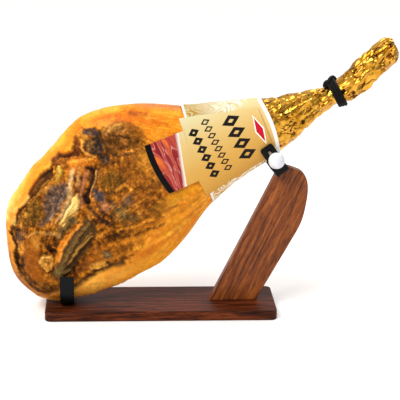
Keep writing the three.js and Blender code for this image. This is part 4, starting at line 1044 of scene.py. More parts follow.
def sleevePaper():
    # Printed, coated paper: a satin varnish over a cream ground
    material, tree, shader, place = newMaterial("varnishedSleevePaper")
    along = addNode(tree, "Attribute", attribute_name="along").outputs["Fac"]
    across = addNode(tree, "Attribute", attribute_name="across").outputs["Fac"]
    ground = addNode(tree, "MapRange", {"Value": across, "From Min": -60, "From Max": 75}).outputs["Result"]
    tone = addNode(tree, "ValToRGB", {"Fac": ground},
                   stops=[(0.0, "#D39C48"), (0.45, "#DCB670"), (0.85, "#D0BE88"), (1.0, "#BBAB7C")])

    # Wavy lines along both edges: gold near the meat on the upper one, near white elsewhere
    flow = addNode(tree, "TexNoise", {"Vector": place, "Scale": perMetre(sleeve["waves"]), "Detail": 1.5,
                                      "Distortion": 0.8}).outputs["Fac"]
    level = addNode(tree, "Math", {0: flow, 1: sleeve["waveLines"]}, operation="MULTIPLY").outputs[0]
    ripple = addNode(tree, "Math", {0: level, 1: 1.0}, operation="PINGPONG").outputs[0]
    lines = addNode(tree, "ValToRGB", {"Fac": ripple}, stops=[(0.45, 0), (0.62, 1)]).outputs["Color"]
    edges = addNode(tree, "ValToRGB", {"Fac": ground},
                    stops=[(0.0, 1), (0.12, 1), (0.24, 0), (0.84, 0), (0.9, 1)]).outputs["Color"]
    amount = addNode(tree, "Math", {0: lines, 1: edges}, operation="MULTIPLY").outputs[0]
    lower = addNode(tree, "Math", {0: ground, 1: 0.5}, operation="LESS_THAN").outputs[0]
    fade = addNode(tree, "Math", {0: along, 1: lower}, operation="MAXIMUM").outputs[0]
    ink = addNode(tree, "ValToRGB", {"Fac": fade}, stops=[(0.15, "#A97F28"), (0.55, "#F4ECD6")])
    printed = addNode(tree, "Mix", {0: amount, 6: tone.outputs["Color"], 7: ink.outputs["Color"]},
                      data_type="RGBA").outputs[2]
    border = addNode(tree, "ValToRGB", {"Fac": along},
                     stops=[(0.0, 1), (0.024, 1), (0.027, 0), (0.952, 0), (0.956, 1)]).outputs["Color"]
    base = addNode(tree, "Mix", {0: border, 6: printed, 7: colour("#F4F2EC")}, data_type="RGBA")
    bump = addNode(tree, "Bump", {"Height": flow, "Distance": 0.001, "Strength": 0.3})
    connect(tree, shader, {"Base Color": base.outputs[2], "Normal": bump.outputs["Normal"],
                           "Roughness": 0.45, "Specular IOR Level": 0.2})
    return material


def frontAt(s, n, outset):
    # The outset front of the wrapped leg at (s, n), as a y, from a table with a cell for every mm of n
    step, lowest, highest, margin = 2.0, -120, 180, 0.02
    turn = np.linspace(margin, math.pi - margin, 200)
    rows = np.arange(wrapped["from"], wrapped["to"] - 2 * step, step)
    table = []
    for place in rows:
        frontN, frontY = onWrapped(np.full(turn.shape, place), turn, outset)
        order = np.argsort(frontN)
        table.append(np.interp(np.arange(lowest, highest, 1.0), frontN[order], frontY[order]))
    column = np.clip(n - lowest, 0, highest - lowest - 1.001)
    return between(np.array(table), (s - rows[0]) / step, column)


def makeLabel():
    shares = np.linspace(0, 1, label["rows"])[:, None]

    def lerp(pair, share):
        return pair[0] + (pair[1] - pair[0]) * share

    # The tongue's columns run into the body's, and the body is taller from its own left edge on
    t = np.linspace(0, 1, label["tongueColumns"] + 1)[None, :-1]
    b = np.linspace(0, 1, label["bodyColumns"])[None, :]
    edge = label["tongueFrom"] - label["tongueBulge"] * (1 - (2 * shares - 1) ** 2)
    tongueN = lerp((lerp(label["tongueBottom"], t), lerp(label["tongueTop"], t)), shares)
    bodyN = lerp((lerp(label["bodyBottom"], b), lerp(label["bodyTop"], b)), shares)
    bodyStart, bodyEnd = lerp(label["bodyFrom"], shares), lerp(label["bodyTo"], shares)
    s = np.concatenate([lerp((edge, bodyStart), t), lerp((bodyStart, bodyEnd), b)], 1)
    n = np.concatenate([tongueN, bodyN], 1)
    points = fromLeg(s, n, frontAt(s, n, label["outset"] + label["thickness"]))
    mesh = rolledMesh("label_card", points, {"along": s, "across": n, "fromEdge": s - edge}, closed=False)
    pointOutwards(mesh, Vector(fromLeg(*label["middle"])))
    piece = finishPiece(mesh, "label_card", "ham_on_stand", "front_label", labelCard())
    card = piece.modifiers.new("card", "SOLIDIFY")
    card.thickness = label["thickness"] * millimetre
    card.offset = -1


labelPrint = {
    # all in mm on the leg: s runs along it and n across it
    "bandWidth": 10.5,
    "panelTo": (346, 0.32),  # its right edge leans: s at n = 0, and the change of s with n
    "panelEdge": 7,
    "marbling": 11.765,
    "cockle": 62.5,
    # place along, half height, first place across, count, spacing, half width, hollow, colour
    "rows": [
        (459, 17.5, -22, 4, 22, 10.2, 0.34, "#1C1816"),
        (418, 9.0, -28, 8, 13, 5.6, 0.5, "#2A211A"),
        (392, 10.5, -26, 6, 16.5, 7.8, 0.25, "#1C1816"),
        (497, 8.5, 6, 1, 60, 29, 0.0, "#FBF6EA"),
        (497, 6.3, 6, 1, 60, 24, 0.0, "#BE1A2E"),
    ],
}


def labelCard():
    # Offset-printed card with a satin varnish: a soft sheen, no grain to the eye
    material, tree, shader, place = newMaterial("varnishedLabelCard")
    along, across, fromEdge = (addNode(tree, "Attribute", attribute_name=name).outputs["Fac"]
                               for name in ("along", "across", "fromEdge"))

    def sums(operation, *values, clamp=False):
        return addNode(tree, "Math", dict(enumerate(values)), operation=operation, use_clamp=clamp).outputs[0]

    def lozenges(row):
        centre, halfAlong, first, count, spacing, halfAcross, hollow, _ = row
        steps = sums("DIVIDE", sums("SUBTRACT", across, first - spacing / 2), spacing)
        sideways = sums("MULTIPLY", sums("ABSOLUTE", sums("SUBTRACT", sums("FRACT", steps), 0.5)),
                        spacing / halfAcross)
        lengthways = sums("DIVIDE", sums("ABSOLUTE", sums("SUBTRACT", along, centre)), halfAlong)
        far = sums("ADD", sideways, lengthways)
        ring = sums("MULTIPLY", sums("LESS_THAN", far, 1.0), sums("GREATER_THAN", far, hollow))
        inRow = sums("MULTIPLY", sums("GREATER_THAN", steps, 0.0), sums("LESS_THAN", steps, float(count)))
        return sums("MULTIPLY", ring, inRow)

    def mix(weight, under, over):
        return addNode(tree, "Mix", {0: weight, 6: under, 7: over}, data_type="RGBA").outputs[2]

    height = addNode(tree, "MapRange", {"Value": across, "From Min": -56, "From Max": 88}).outputs["Result"]
    base = addNode(tree, "ValToRGB", {"Fac": height}, stops=[
        (0.0, "#CB9440"), (0.35, "#CD9E4E"), (0.7, "#D2B474"), (1.0, "#CDC59A")]).outputs["Color"]
    for row in labelPrint["rows"]:
        base = mix(lozenges(row), base, colour(row[-1]))

    # The marbled panel on the tongue, with a frosted edge and a black band
    flat = addNode(tree, "CombineXYZ", {0: along, 1: across}).outputs[0]
    streaks = addNode(tree, "Mapping", {"Vector": flat, "Scale": (1, 0.2, 1)})
    swirl = addNode(tree, "TexNoise", {"Vector": streaks.outputs["Vector"], "Detail": 2,
                                       "Scale": 1 / labelPrint["marbling"], "Distortion": 0.9})
    marbled = addNode(tree, "ValToRGB", {"Fac": swirl.outputs["Fac"]}, stops=[
        (0.34, "#7A1F20"), (0.46, "#96302E"), (0.49, "#C88478"),
        (0.52, "#9C3430"), (0.6, "#B24A34"), (0.68, "#D4682C")]).outputs["Color"]
    edgeAtZero, edgeLean = labelPrint["panelTo"]
    leftOfEdge = sums("SUBTRACT", sums("ADD", edgeAtZero, sums("MULTIPLY", across, edgeLean)), along)
    frost = sums("SUBTRACT", 1.0, sums("DIVIDE", leftOfEdge, labelPrint["panelEdge"]), clamp=True)
    marbled = mix(frost, marbled, colour("#F6E6DC"))
    base = mix(sums("GREATER_THAN", leftOfEdge, 0.0), base, marbled)
    base = mix(sums("LESS_THAN", fromEdge, labelPrint["bandWidth"]), base, colour("#0A0909"))
    cockle = addNode(tree, "TexNoise", {"Vector": place, "Scale": perMetre(labelPrint["cockle"]),
                                        "Detail": 1})
    bump = addNode(tree, "Bump", {"Height": cockle.outputs["Fac"], "Distance": 0.0015, "Strength": 0.3})
    connect(tree, shader, {"Base Color": base, "Normal": bump.outputs["Normal"],
                           "Roughness": 0.42, "Specular IOR Level": 0.08})
    return material


makeSleeve()
makeLabel()
print("sleeve and label made")


# Ankle cord
cord = {
    "radius": 3.5,
    "start": 641,
    "pitch": 7.5,
    "turns": 3,
    "stepsPerTurn": 16,
    "startAngle": -0.35,
    "lift": 4.1,
    "castFrom": 80,
    "crossing": {"over": 5.2, "steps": 8, "angle": 0.9, "from": 0.15, "past": 2},
    "knotRadius": 3.4,
    "knotSteps": 15,
    "knotPerTurn": 10,
    "knotAngle": 0.5,
    "knotLift": 2.0,
    "knotAxes": (((0.35, 0, 1), 3.6), ((1, 0.25, -0.2), 3.4)),
    "strands": 3,
    "strandDepth": 0.2,
    "lay": 11.0,  # mm for one turn of the strands
    "tipRounding": (-0.6, 2.2),
    "step": 0.7,
    "sides": 24,
    "fibres": 0.6667,  # coarser than real fibres, which are too fine to show
}


def onAnkle(s, turn, lift):
    # A point over the foil at an angle round the ankle
    far = cord["castFrom"]
    centreN, centreY = legCentre(s, 1), legCentre(s, 2)
    out = Vector((0, -math.sin(turn), math.cos(turn)))
    start = Vector(fromLeg(s, centreN + far * out.z, centreY + far * out.y))
    middle = Vector(fromLeg(s, centreN, centreY))
    reach = far - legTree.ray_cast(start, middle - start)[3] / millimetre + lift
    return np.array([s, centreN + reach * out.z, centreY + reach * out.y])


def travelledAlong(path):
    return np.concatenate([[0], np.cumsum(np.linalg.norm(np.diff(path, axis=0), axis=1))])


def smoothPath(points, step):
    # Catmull-Rom through the points, then spaced evenly
    padded = np.concatenate([2 * points[:1] - points[1:2], points, 2 * points[-1:] - points[-2:-1]])
    t = np.linspace(0, 1, 12, endpoint=False)[:, None]
    runs = []
    for a, b, c, d in zip(padded, padded[1:], padded[2:], padded[3:]):
        runs.append(0.5 * (2 * b + (c - a) * t + (2 * a - 5 * b + 4 * c - d) * t ** 2
                           + (3 * b - a - 3 * c + d) * t ** 3))
    fine = np.concatenate(runs + [points[-1:]])
    travelled = travelledAlong(fine)
    places = np.linspace(0, travelled[-1], int(travelled[-1] / step))
    return np.stack([np.interp(places, travelled, fine[:, k]) for k in range(3)], 1)


def ropeMesh(name, path, radius):
    # A laid rope along a path of points in the leg's frame: its section is a ring of strands
    path = smoothPath(np.array(path), cord["step"])
    tangents = np.gradient(path, axis=0)
    tangents /= np.linalg.norm(tangents, axis=1)[:, None]
    side = np.cross(tangents[0], (1, 0.2, 0.3))
    sides = []
    for tangent in tangents:
        side = side - tangent * side.dot(tangent)
        side /= np.linalg.norm(side)
        sides.append(side)
    sides = np.array(sides)
    ups = np.cross(tangents, sides)
    travelled = travelledAlong(path)
    angle = roundTurns(cord["sides"])
    lay = angle[None, :] - 2 * math.pi * travelled[:, None] / cord["lay"]
    crown = np.abs(np.cos(cord["strands"] * lay / 2))
    reach = radius * (1 - cord["strandDepth"] + cord["strandDepth"] * crown ** 0.7)
    tip = np.minimum(travelled, travelled[-1] - travelled)
    reach = reach * np.sqrt(ease(*cord["tipRounding"], tip))[:, None]
    ring = (path[:, None] + reach[..., None] * (np.cos(angle)[None, :, None] * sides[:, None]
                                                + np.sin(angle)[None, :, None] * ups[:, None]))
    ring = np.concatenate([np.broadcast_to(path[:1, None], ring[:1].shape), ring,
                           np.broadcast_to(path[-1:, None], ring[:1].shape)])
    return rolledMesh(name, fromLeg(ring[..., 0], ring[..., 1], ring[..., 2]), {"crown": withEnds(crown)})


def turnsPath():
    # Turns side by side round the ankle, then one that crosses over them back to the start
    last = cord["turns"] - 1
    path = []
    for i in range(cord["turns"] * cord["stepsPerTurn"] + 1):
        turned = i / cord["stepsPerTurn"]
        s = cord["start"] + cord["pitch"] * turned * last / cord["turns"]
        path.append(onAnkle(s, cord["startAngle"] + 2 * math.pi * turned, cord["lift"]))
    crossing = cord["crossing"]
    start, end = cord["start"] + cord["pitch"] * last, cord["start"] - crossing["past"]
    for i in range(1, crossing["steps"] + 1):
        t = i / crossing["steps"]
        s = start + (end - start) * t * t * (3 - 2 * t)
        lift = cord["lift"] + crossing["over"] * math.sin(math.pi * min(t * 1.2, 1)) ** 0.6
        path.append(onAnkle(s, cord["startAngle"] + crossing["angle"] * (t - crossing["from"]), lift))
    return path


def knotPath():
    # One and a half slanted loops beside the turns
    centre = onAnkle(cord["start"] - cord["radius"], cord["startAngle"] + cord["knotAngle"],
                     cord["lift"] + cord["knotLift"])
    (acrossAxis, acrossSize), (alongAxis, alongSize) = cord["knotAxes"]
    path = []
    for i in range(cord["knotSteps"]):
        angle = 2 * math.pi * i / cord["knotPerTurn"]
        across = Vector(acrossAxis).normalized() * math.cos(angle) * acrossSize
        along = Vector(alongAxis).normalized() * math.sin(angle) * alongSize
        drift = np.array((0.25 * i - 1.8, 0, -0.12 * i))
        path.append(centre + np.array(across.xzy) + np.array(along) + drift)
    return path


def makeCord():
    black = blackCord()
    for name, path, radius in (("ankle_cord_turns", turnsPath(), cord["radius"]),
                               ("ankle_cord_knot", knotPath(), cord["knotRadius"])):
        finishPiece(ropeMesh(name, path, radius), name, "ham_on_stand", "ankle_cord", black)


def blackCord():
    # Laid polyester cord, dyed black: soft sheen on the strands, and painted shade that darkens the gaps
    # between them
    material, tree, shader, place = newMaterial("blackPolyesterCord")
    crown = addNode(tree, "Attribute", attribute_name="crown").outputs["Fac"]
    # Painted shade: the colour darkens from the strands' crowns into the gaps between them
    tone = addNode(tree, "ValToRGB", {"Fac": crown}, stops=[(0.1, "#020202"), (0.9, "#120E0D")])
    fibres = addNode(tree, "TexNoise", {"Vector": place, "Scale": perMetre(cord["fibres"]), "Detail": 2})
    bump = addNode(tree, "Bump", {"Height": fibres.outputs["Fac"], "Distance": 0.0003, "Strength": 0.6})
    connect(tree, shader, {"Base Color": tone.outputs["Color"], "Normal": bump.outputs["Normal"],
                           "Roughness": 0.55, "Specular IOR Level": 0.12})
    return material


makeCord()
print("cord made")


# Wooden stand
stand = {
    "board": (416, 145, 18),
    "boardCorner": 12,
    "boardEdge": 2.5,
    "postThickness": 20,
    "postFoot": (89, 174),
    "postEdge": 1.6,
    "postBack": [(243, 142), (258, 169), (259, 182), (263, 206), (267, 234), (264, 256), (244, 262.5)],
    "postCrown": (236, 265.5),
    "curveSteps": 10,
    "clampFoot": (214.8, 260.1),
    "clampLean": 35,
    "seat": (-13.5, 14.5),
}
wood = {
    "bands": 5.263,  # mm across the grain
    "pores": 1.4286,  # drawn coarse, as real ones are too fine to show
    "stretch": 0.07,  # along the grain
    # the board's shades are darker than the post's: painted shade, for the board lies in the shadow of the
    # ham and the post
    "board": {"shades": ("#260D05", "#491E0A", "#6E3214"), "grain": (1, 0, 0), "gloss": 0.1, "coat": 0.01},
    "post": {"shades": ("#481F08", "#7C3D12", "#9E571F"), "grain": (0.42, 0, 0.91),
             "gloss": 0.25, "coat": 0.04},
}


def finishWood(shape, name, node, material):
    bmesh.ops.scale(shape, vec=(millimetre,) * 3, verts=shape.verts)
    piece = finishPiece(fromBmesh(shape, name), name, "ham_on_stand", node, material)
    normals = piece.modifiers.new("evenShading", "WEIGHTED_NORMAL")
    normals.keep_sharp = False


def makeBoard():
    length, width, thickness = stand["board"]
    shape = bmesh.new()
    bmesh.ops.create_cube(shape, size=1)
    bmesh.ops.scale(shape, vec=(length, width, thickness), verts=shape.verts)
    bmesh.ops.translate(shape, vec=(0, 0, thickness / 2), verts=shape.verts)
    upright = [e for e in shape.edges if abs(e.verts[0].co.z - e.verts[1].co.z) > 1]
    bevelEdges(shape, upright, stand["boardCorner"], segments=10)
    rims = [e for e in shape.edges if abs(e.verts[0].co.z - e.verts[1].co.z) < 0.01]
    bevelEdges(shape, rims, stand["boardEdge"], segments=4)
    material = stainedWood("stainedBoardWood", **wood["board"])
    finishWood(shape, "stand_board", "base_board", material)


def bezier(a, b, c, d):
    t = np.linspace(0, 1, stand["curveSteps"])[:, None]
    a, b, c, d = (np.array(p, float) for p in (a, b, c, d))
    points = a * (1 - t) ** 3 + 3 * b * t * (1 - t) ** 2 + 3 * c * t * t * (1 - t) + d * t ** 3
    return [tuple(p) for p in points]


def onSeat(along):
    # A point of the post's slanted top, under the clamp
    (footX, footZ), lean, gap = stand["clampFoot"], math.radians(stand["clampLean"]), leg["gap"]
    return (footX + along * math.cos(lean) + gap * math.sin(lean),
            footZ + along * math.sin(lean) - gap * math.cos(lean))


def makePost():
    start, *curve = stand["postBack"]
    front, back = (onSeat(along) for along in stand["seat"])
    crown = tuple(0.25 * a + 0.5 * b + 0.25 * c for a, b, c in zip(curve[5], stand["postCrown"], back))
    outline = [(x, stand["board"][2]) for x in stand["postFoot"]]
    outline += bezier(start, *curve[:3])[:-1] + bezier(curve[2], *curve[3:]) + [crown, back, front]
    half = stand["postThickness"] / 2
    shape = bmesh.new()
    face = shape.faces.new([shape.verts.new((x, -half, z)) for x, z in outline])
    raised = bmesh.ops.extrude_face_region(shape, geom=[face])["geom"]
    moved = [v for v in raised if isinstance(v, bmesh.types.BMVert)]
    bmesh.ops.translate(shape, vec=(0, 2 * half, 0), verts=moved)
    rims = [e for e in shape.edges if abs(e.verts[0].co.y - e.verts[1].co.y) < 0.01]
    bevelEdges(shape, rims, stand["postEdge"], segments=3)
    bmesh.ops.recalc_face_normals(shape, faces=shape.faces)
    material = stainedWood("stainedPostWood", **wood["post"])
    finishWood(shape, "stand_post", "post", material)


def stainedWood(name, shades, grain, gloss, coat):
    # Beech stained reddish brown and varnished: long dark pores and bands along the grain, satin gloss
    material, tree, shader, place = newMaterial(name)
    turn = Vector(grain).to_track_quat("X", "Z").to_euler()
    turned = addNode(tree, "Mapping", {"Vector": place, "Rotation": turn}, vector_type="TEXTURE")
    long = addNode(tree, "Mapping", {"Vector": turned.outputs["Vector"],
                                     "Scale": (wood["stretch"], 1, 1)}).outputs["Vector"]
    bands = addNode(tree, "TexNoise", {"Vector": long, "Scale": perMetre(wood["bands"]), "Detail": 4,
                                       "Roughness": 0.6, "Distortion": 0.4})
    pores = addNode(tree, "TexNoise", {"Vector": long, "Scale": perMetre(wood["pores"]),
                                       "Detail": 2}).outputs["Fac"]
    tone = addNode(tree, "ValToRGB", {"Fac": bands.outputs["Fac"]},
                   stops=list(zip((0.32, 0.5, 0.66), shades)))
    marks = addNode(tree, "ValToRGB", {"Fac": pores}, stops=[(0.38, 0.42), (0.48, 1.0)])
    base = addNode(tree, "Mix", {0: 1.0, 6: tone.outputs["Color"], 7: marks.outputs["Color"]},
                   data_type="RGBA", blend_type="MULTIPLY")
    bump = addNode(tree, "Bump", {"Height": pores, "Distance": 0.0003, "Strength": 0.4})
    connect(tree, shader, {"Base Color": base.outputs[2], "Normal": bump.outputs["Normal"],
                           "Roughness": 0.5, "Specular IOR Level": gloss,
                           "Coat Weight": coat, "Coat Roughness": 0.25})
    return material


makeBoard()
makePost()
print("wood made")


# Steel brackets and clamp screw
strip = {"width": 25, "thickness": 3, "edge": 0.5, "edgeAngle": 50, "columns": 9}
cradle = {
    "x": -168,
    "halfInside": 61.5,
    "height": 60,
    "roundness": 2.9,
    "steps": 64,
    "corner": 2,
    "tipSteps": (0, 0.3, 0.8, 1.4, 2),
}
clamp = {
    "twist": 5,
    "splay": 5,
    "height": 60.7,
    "halfInside": 34,
    "bend": 6,
    "corner": 5,
    "armSteps": (0, 0.2, 0.6, 1.2, 2, 3, 4, 5, 9, 14, 24, 34, 44),
    "cornerSteps": 9,
    "footSteps": 8,
}
screw = {
    "radius": 3.0,
    "hole": 3.3,
    "holeDepth": 14,
    "up": 48,
    "tip": 5,
    "ballRadius": 14.35,
    "ballOut": 57,
    "inBall": 0.35,  # how far past the ball's centre the rod runs, as a share of its radius
    "collarRadius": 6.5,
    "collar": 1.5,
    "collarEdge": 0.5,
    "pitch": 2.2,  # a real M6 thread is 1 mm, too fine to show
    "threadDepth": 0.45,
    "threadSteep": 1.6,
    "tipRounding": (-0.8, 1.2),
    "rowGap": 0.24,
    "columns": 24,
    "segments": 48,
    "profileSteps": 24,
}
# Marks of the finishes in mm. The pebbling of the paint is drawn coarse, as a real one is too fine to show.
finishes = {"pebble": 0.8333, "rubbed": 16.667, "cloud": 5.5556, "peel": 3.8462}


def bentStrip(name, path, corner, place):
    # A flat strip bent along its outer line, a list of (across, up) points, with its tips rounded
    points = np.array(path, float)
    run = np.concatenate([[0], np.cumsum(np.hypot(*np.diff(points, axis=0).T))])
    fromTip = np.minimum(np.minimum(run, run[-1] - run), corner)
    half = strip["width"] / 2 - corner + np.sqrt(corner ** 2 - (corner - fromTip) ** 2)
    across = half[:, None] * np.linspace(-1, 1, strip["columns"])
    sheet = np.stack([across, points[:, :1] + 0 * across, points[:, 1:] + 0 * across], -1)
    piece = addObject(name, rolledMesh(name, placed(sheet, place), {}, closed=False))
    wall = piece.modifiers.new("wall", "SOLIDIFY")
    wall.thickness = strip["thickness"] * millimetre
    wall.offset = -1
    wall.use_even_offset = True
    edge = piece.modifiers.new("edge", "BEVEL")
    edge.width = strip["edge"] * millimetre
    edge.segments = 2
    edge.limit_method = "ANGLE"
    edge.angle_limit = math.radians(strip["edgeAngle"])
    return piece


def placed(points, place):
    return np.array([[place @ Vector(p) for p in row] for row in points]) * millimetre


def makeCradle(steel):
    reach, deep = cradle["halfInside"] + strip["thickness"], cradle["height"] + strip["thickness"]
    power = 2 / cradle["roundness"]
    bowl = []
    for k in range(cradle["steps"] + 1):
        angle = math.pi * k / cradle["steps"]
        cosine, sine = math.cos(angle), math.sin(angle)
        across = math.copysign(abs(cosine) ** power, cosine) * reach
        bowl.append((across, stand["board"][2] + deep - abs(sine) ** power * deep))
    tips = [(bowl[0][0], bowl[0][1] - d) for d in cradle["tipSteps"]]
    path = tips + [p for p in bowl if p[1] < tips[-1][1] - 1] + [(-x, z) for x, z in reversed(tips)]
    piece = bentStrip("cradle_steel", path, cradle["corner"], Matrix.Translation((cradle["x"], 0, 0)))
    pointOutwards(piece.data, Vector((cradle["x"], 0, cradle["height"])) * millimetre)
    finishPiece(bakePiece(piece), "cradle_steel", "ham_on_stand", "cradle", steel)


def clampHalfWidth(height):
    return clamp["halfInside"] + strip["thickness"] + height * math.tan(math.radians(clamp["splay"]))


clampPlace = (Matrix.Translation((stand["clampFoot"][0], 0, stand["clampFoot"][1]))
              @ Matrix.Rotation(-math.radians(stand["clampLean"]), 4, "Y")
              @ Matrix.Rotation(math.radians(clamp["twist"]), 4, "Z"))
screwPlace = (clampPlace @ Matrix.Translation((0, -clampHalfWidth(screw["up"]), screw["up"]))
              @ Matrix.Rotation(math.radians(clamp["splay"]), 4, "X"))


def makeClamp(steel):
    height, bend = clamp["height"], clamp["bend"]
    atBend, atTop = clampHalfWidth(bend), clampHalfWidth(height)
    arm = [(-atTop + (atTop - atBend) * d / (height - bend), height - d) for d in clamp["armSteps"]]
    corner = [(bend - atBend + bend * math.cos(a), bend + bend * math.sin(a))
              for a in np.linspace(math.pi, 1.5 * math.pi, clamp["cornerSteps"])]
    left = arm + corner
    path = left + [(x, 0) for x in np.linspace(corner[-1][0], -corner[-1][0], clamp["footSteps"])[1:-1]]
    path += [(-x, z) for x, z in reversed(left)]
    piece = bentStrip("clamp_steel", path, clamp["corner"], clampPlace)
    pointOutwards(piece.data, clampPlace @ Vector((0, 0, height / 2)) * millimetre)
    drill = bmesh.new()
    bmesh.ops.create_cone(drill, cap_ends=True, segments=32, radius1=screw["hole"], radius2=screw["hole"],
                          depth=screw["holeDepth"])
    bmesh.ops.rotate(drill, matrix=Matrix.Rotation(math.pi / 2, 3, "X"), verts=drill.verts)
    bmesh.ops.transform(drill, matrix=Matrix.Scale(millimetre, 4) @ screwPlace, verts=drill.verts)
    cutter = addObject("drill", fromBmesh(drill, "drill"))
    hole = piece.modifiers.new("hole", "BOOLEAN")
    hole.object = cutter
    mesh = bakePiece(piece)
    bpy.data.objects.remove(cutter)
    finishPiece(mesh, "clamp_steel", "ham_on_stand", "shank_clamp", steel)


def blackSteel():
    # Mild steel, powder coated satin black: an even, very slightly pebbled skin
    material, tree, shader, place = newMaterial("powderCoatedBlackSteel")
    pebble = addNode(tree, "TexNoise", {"Vector": place, "Scale": perMetre(finishes["pebble"]), "Detail": 2})
    rubbed = addNode(tree, "TexNoise", {"Vector": place, "Scale": perMetre(finishes["rubbed"]),
                                        "Detail": 3}).outputs["Fac"]
    tone = addNode(tree, "ValToRGB", {"Fac": rubbed}, stops=[(0.35, "#08080A"), (0.7, "#0E0E11")])
    rough = addNode(tree, "MapRange", {"Value": rubbed, "From Min": 0.3, "From Max": 0.7,
                                       "To Min": 0.38, "To Max": 0.52})
    bump = addNode(tree, "Bump", {"Height": pebble.outputs["Fac"], "Distance": 0.0002, "Strength": 0.4})
    connect(tree, shader, {"Base Color": tone.outputs["Color"], "Roughness": rough.outputs["Result"],
                           "Normal": bump.outputs["Normal"], "Specular IOR Level": 0.12})
    return material


def makeRod():
    # The threaded rod, along -Y of its own frame
    front, tip = -screw["ballOut"] - screw["ballRadius"] * screw["inBall"], screw["tip"]
    angle = roundTurns(screw["columns"])
    along = np.linspace(front, tip, int((tip - front) / screw["rowGap"]))[:, None]
    phase = (along / screw["pitch"] + angle / (2 * math.pi)) % 1
    ridge = np.minimum(np.abs(phase * 2 - 1) * screw["threadSteep"], 1)
    reach = screw["radius"] - screw["threadDepth"] * (1 - ridge)
    reach = reach * np.sqrt(ease(*screw["tipRounding"], tip - along))
    points = np.stack([reach * np.cos(angle), along + 0 * reach, reach * np.sin(angle)], -1)
    points = np.concatenate([points[:1] * (0, 1, 0), points, points[-1:] * (0, 1, 0)])
    mesh = rolledMesh("screw_thread", placed(points, screwPlace), {})
    finishPiece(mesh, "screw_thread", "clamp_screw", "screw_rod", platedSteel())


def platedSteel():
    # Zinc-plated steel: bright, slightly blue-grey, with a soft blur to its reflections
    material, tree, shader, place = newMaterial("zincPlatedSteel")
    cloud = addNode(tree, "TexNoise", {"Vector": place, "Scale": perMetre(finishes["cloud"]), "Detail": 2})
    tone = addNode(tree, "ValToRGB", {"Fac": cloud.outputs["Fac"]},
                   stops=[(0.3, "#A9A9AE"), (0.7, "#D2D2D6")])
    connect(tree, shader, {"Base Color": tone.outputs["Color"], "Metallic": 1.0, "Roughness": 0.28})
    return material


def makeBall():
    radius, centre = screw["ballRadius"], -screw["ballOut"]
    bore = screw["radius"] + leg["gap"]
    boreEnd = centre - radius * screw["inBall"] - leg["gap"]
    collar, edge = centre + radius + screw["collar"], screw["collarEdge"]
    meets = math.asin(screw["collarRadius"] / radius)
    profile = [(radius * math.sin(a), centre - radius * math.cos(a))
               for a in np.linspace(0, math.pi - meets, screw["profileSteps"])]
    profile += [(screw["collarRadius"], collar - edge), (screw["collarRadius"] - edge, collar),
                (bore, collar), (bore, boreEnd), (0, boreEnd)]
    shape = bmesh.new()
    points = [shape.verts.new((x, y, 0)) for x, y in profile]
    line = [shape.edges.new(pair) for pair in zip(points, points[1:])]
    bmesh.ops.spin(shape, geom=points + line, cent=(0, 0, 0), axis=(0, 1, 0), angle=2 * math.pi,
                   steps=screw["segments"], use_merge=True)
    bmesh.ops.remove_doubles(shape, verts=shape.verts, dist=1e-3)
    bmesh.ops.recalc_face_normals(shape, faces=shape.faces)
    bmesh.ops.transform(shape, matrix=Matrix.Scale(millimetre, 4) @ screwPlace, verts=shape.verts)
    mesh = fromBmesh(shape, "ball_white")
    finishPiece(mesh, "ball_white", "clamp_screw", "ball_knob", whitePlastic())


def whitePlastic():
    # Moulded ABS in glossy white, with the faintest orange peel
    material, tree, shader, place = newMaterial("glossyWhiteAbs")
    peel = addNode(tree, "TexNoise", {"Vector": place, "Scale": perMetre(finishes["peel"]),
                                      "Detail": 1}).outputs["Fac"]
    tone = addNode(tree, "ValToRGB", {"Fac": peel}, stops=[(0.3, "#D2D2D8"), (0.7, "#DCDCE0")])
    bump = addNode(tree, "Bump", {"Height": peel, "Distance": 0.0002, "Strength": 0.2})
    connect(tree, shader, {"Base Color": tone.outputs["Color"], "Normal": bump.outputs["Normal"],
                           "IOR": 1.54, "Roughness": 0.18})
    return material


blackPaint = blackSteel()
makeCradle(blackPaint)
makeClamp(blackPaint)
makeRod()
makeBall()
print("steel and knob made")


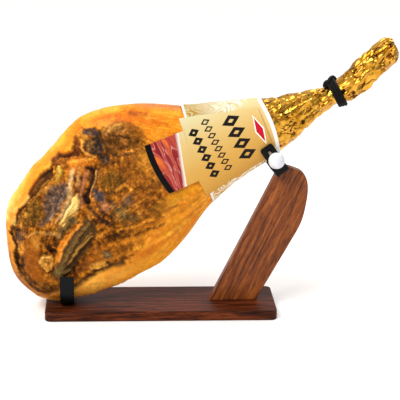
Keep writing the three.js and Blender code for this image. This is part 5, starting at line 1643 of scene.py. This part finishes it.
# Light and floor
studio = {
    # place, size, power in watts; each is aimed at the middle of the ham
    "lamps": {"key": ((-1.3, -1.3, 1.7), 0.8, 26), "rim": ((0.9, 0.9, 1.5), 0.7, 12)},
    "aim": (0.0, 0.0, 0.22),
    "sun": {"strength": 1.6, "angle": 40, "turn": (38, -8, -25)},
    # the dome is bright above and behind the object and dim towards the viewer
    "dome": {"low": "#5E5E62", "high": "#FFFFFF", "lean": 0.6, "strength": 0.78},
    "floorSize": 80.0,
    "floor": "#F6F5F3",
}


def makeLights():
    for name, (place, size, power) in studio["lamps"].items():
        lamp = bpy.data.lights.new(name, "AREA")
        lamp.size = size
        lamp.energy = power
        aim = (Vector(studio["aim"]) - Vector(place)).to_track_quat("-Z", "Y")
        addObject(name, lamp).matrix_world = Matrix.Translation(place) @ aim.to_matrix().to_4x4()
    sun = studio["sun"]
    daylight = bpy.data.lights.new("daylight", "SUN")
    daylight.energy = sun["strength"]
    daylight.angle = math.radians(sun["angle"])
    addObject("daylight", daylight).rotation_euler = [math.radians(a) for a in sun["turn"]]


def makeDome():
    dome = studio["dome"]
    world = bpy.data.worlds.new("studio")
    bpy.context.scene.world = world
    world.use_nodes = True
    tree = world.node_tree
    direction = addNode(tree, "TexCoord").outputs["Generated"]
    parts = addNode(tree, "SeparateXYZ", {0: direction}).outputs
    height = addNode(tree, "Math", {0: parts["Y"], 1: dome["lean"], 2: parts["Z"]}, operation="MULTIPLY_ADD")
    share = addNode(tree, "MapRange", {"Value": height.outputs[0], "From Min": -0.6, "From Max": 0.5})
    glow = addNode(tree, "ValToRGB", {"Fac": share.outputs["Result"]},
                   stops=[(0.0, dome["low"]), (1.0, dome["high"])])
    connect(tree, tree.nodes["Background"], {"Color": glow.outputs["Color"], "Strength": dome["strength"]})


def makeFloor():
    shape = bmesh.new()
    bmesh.ops.create_grid(shape, x_segments=1, y_segments=1, size=studio["floorSize"] / 2)
    floor = addObject("floor", fromBmesh(shape, "floor"))
    material, tree, shader, _ = newMaterial("paleFloor")
    connect(tree, shader, {"Base Color": colour(studio["floor"]), "Roughness": 0.7})
    floor.data.materials.append(material)


makeLights()
makeDome()
makeFloor()
bpy.context.scene.view_settings.view_transform = "Standard"
print("light and floor made")
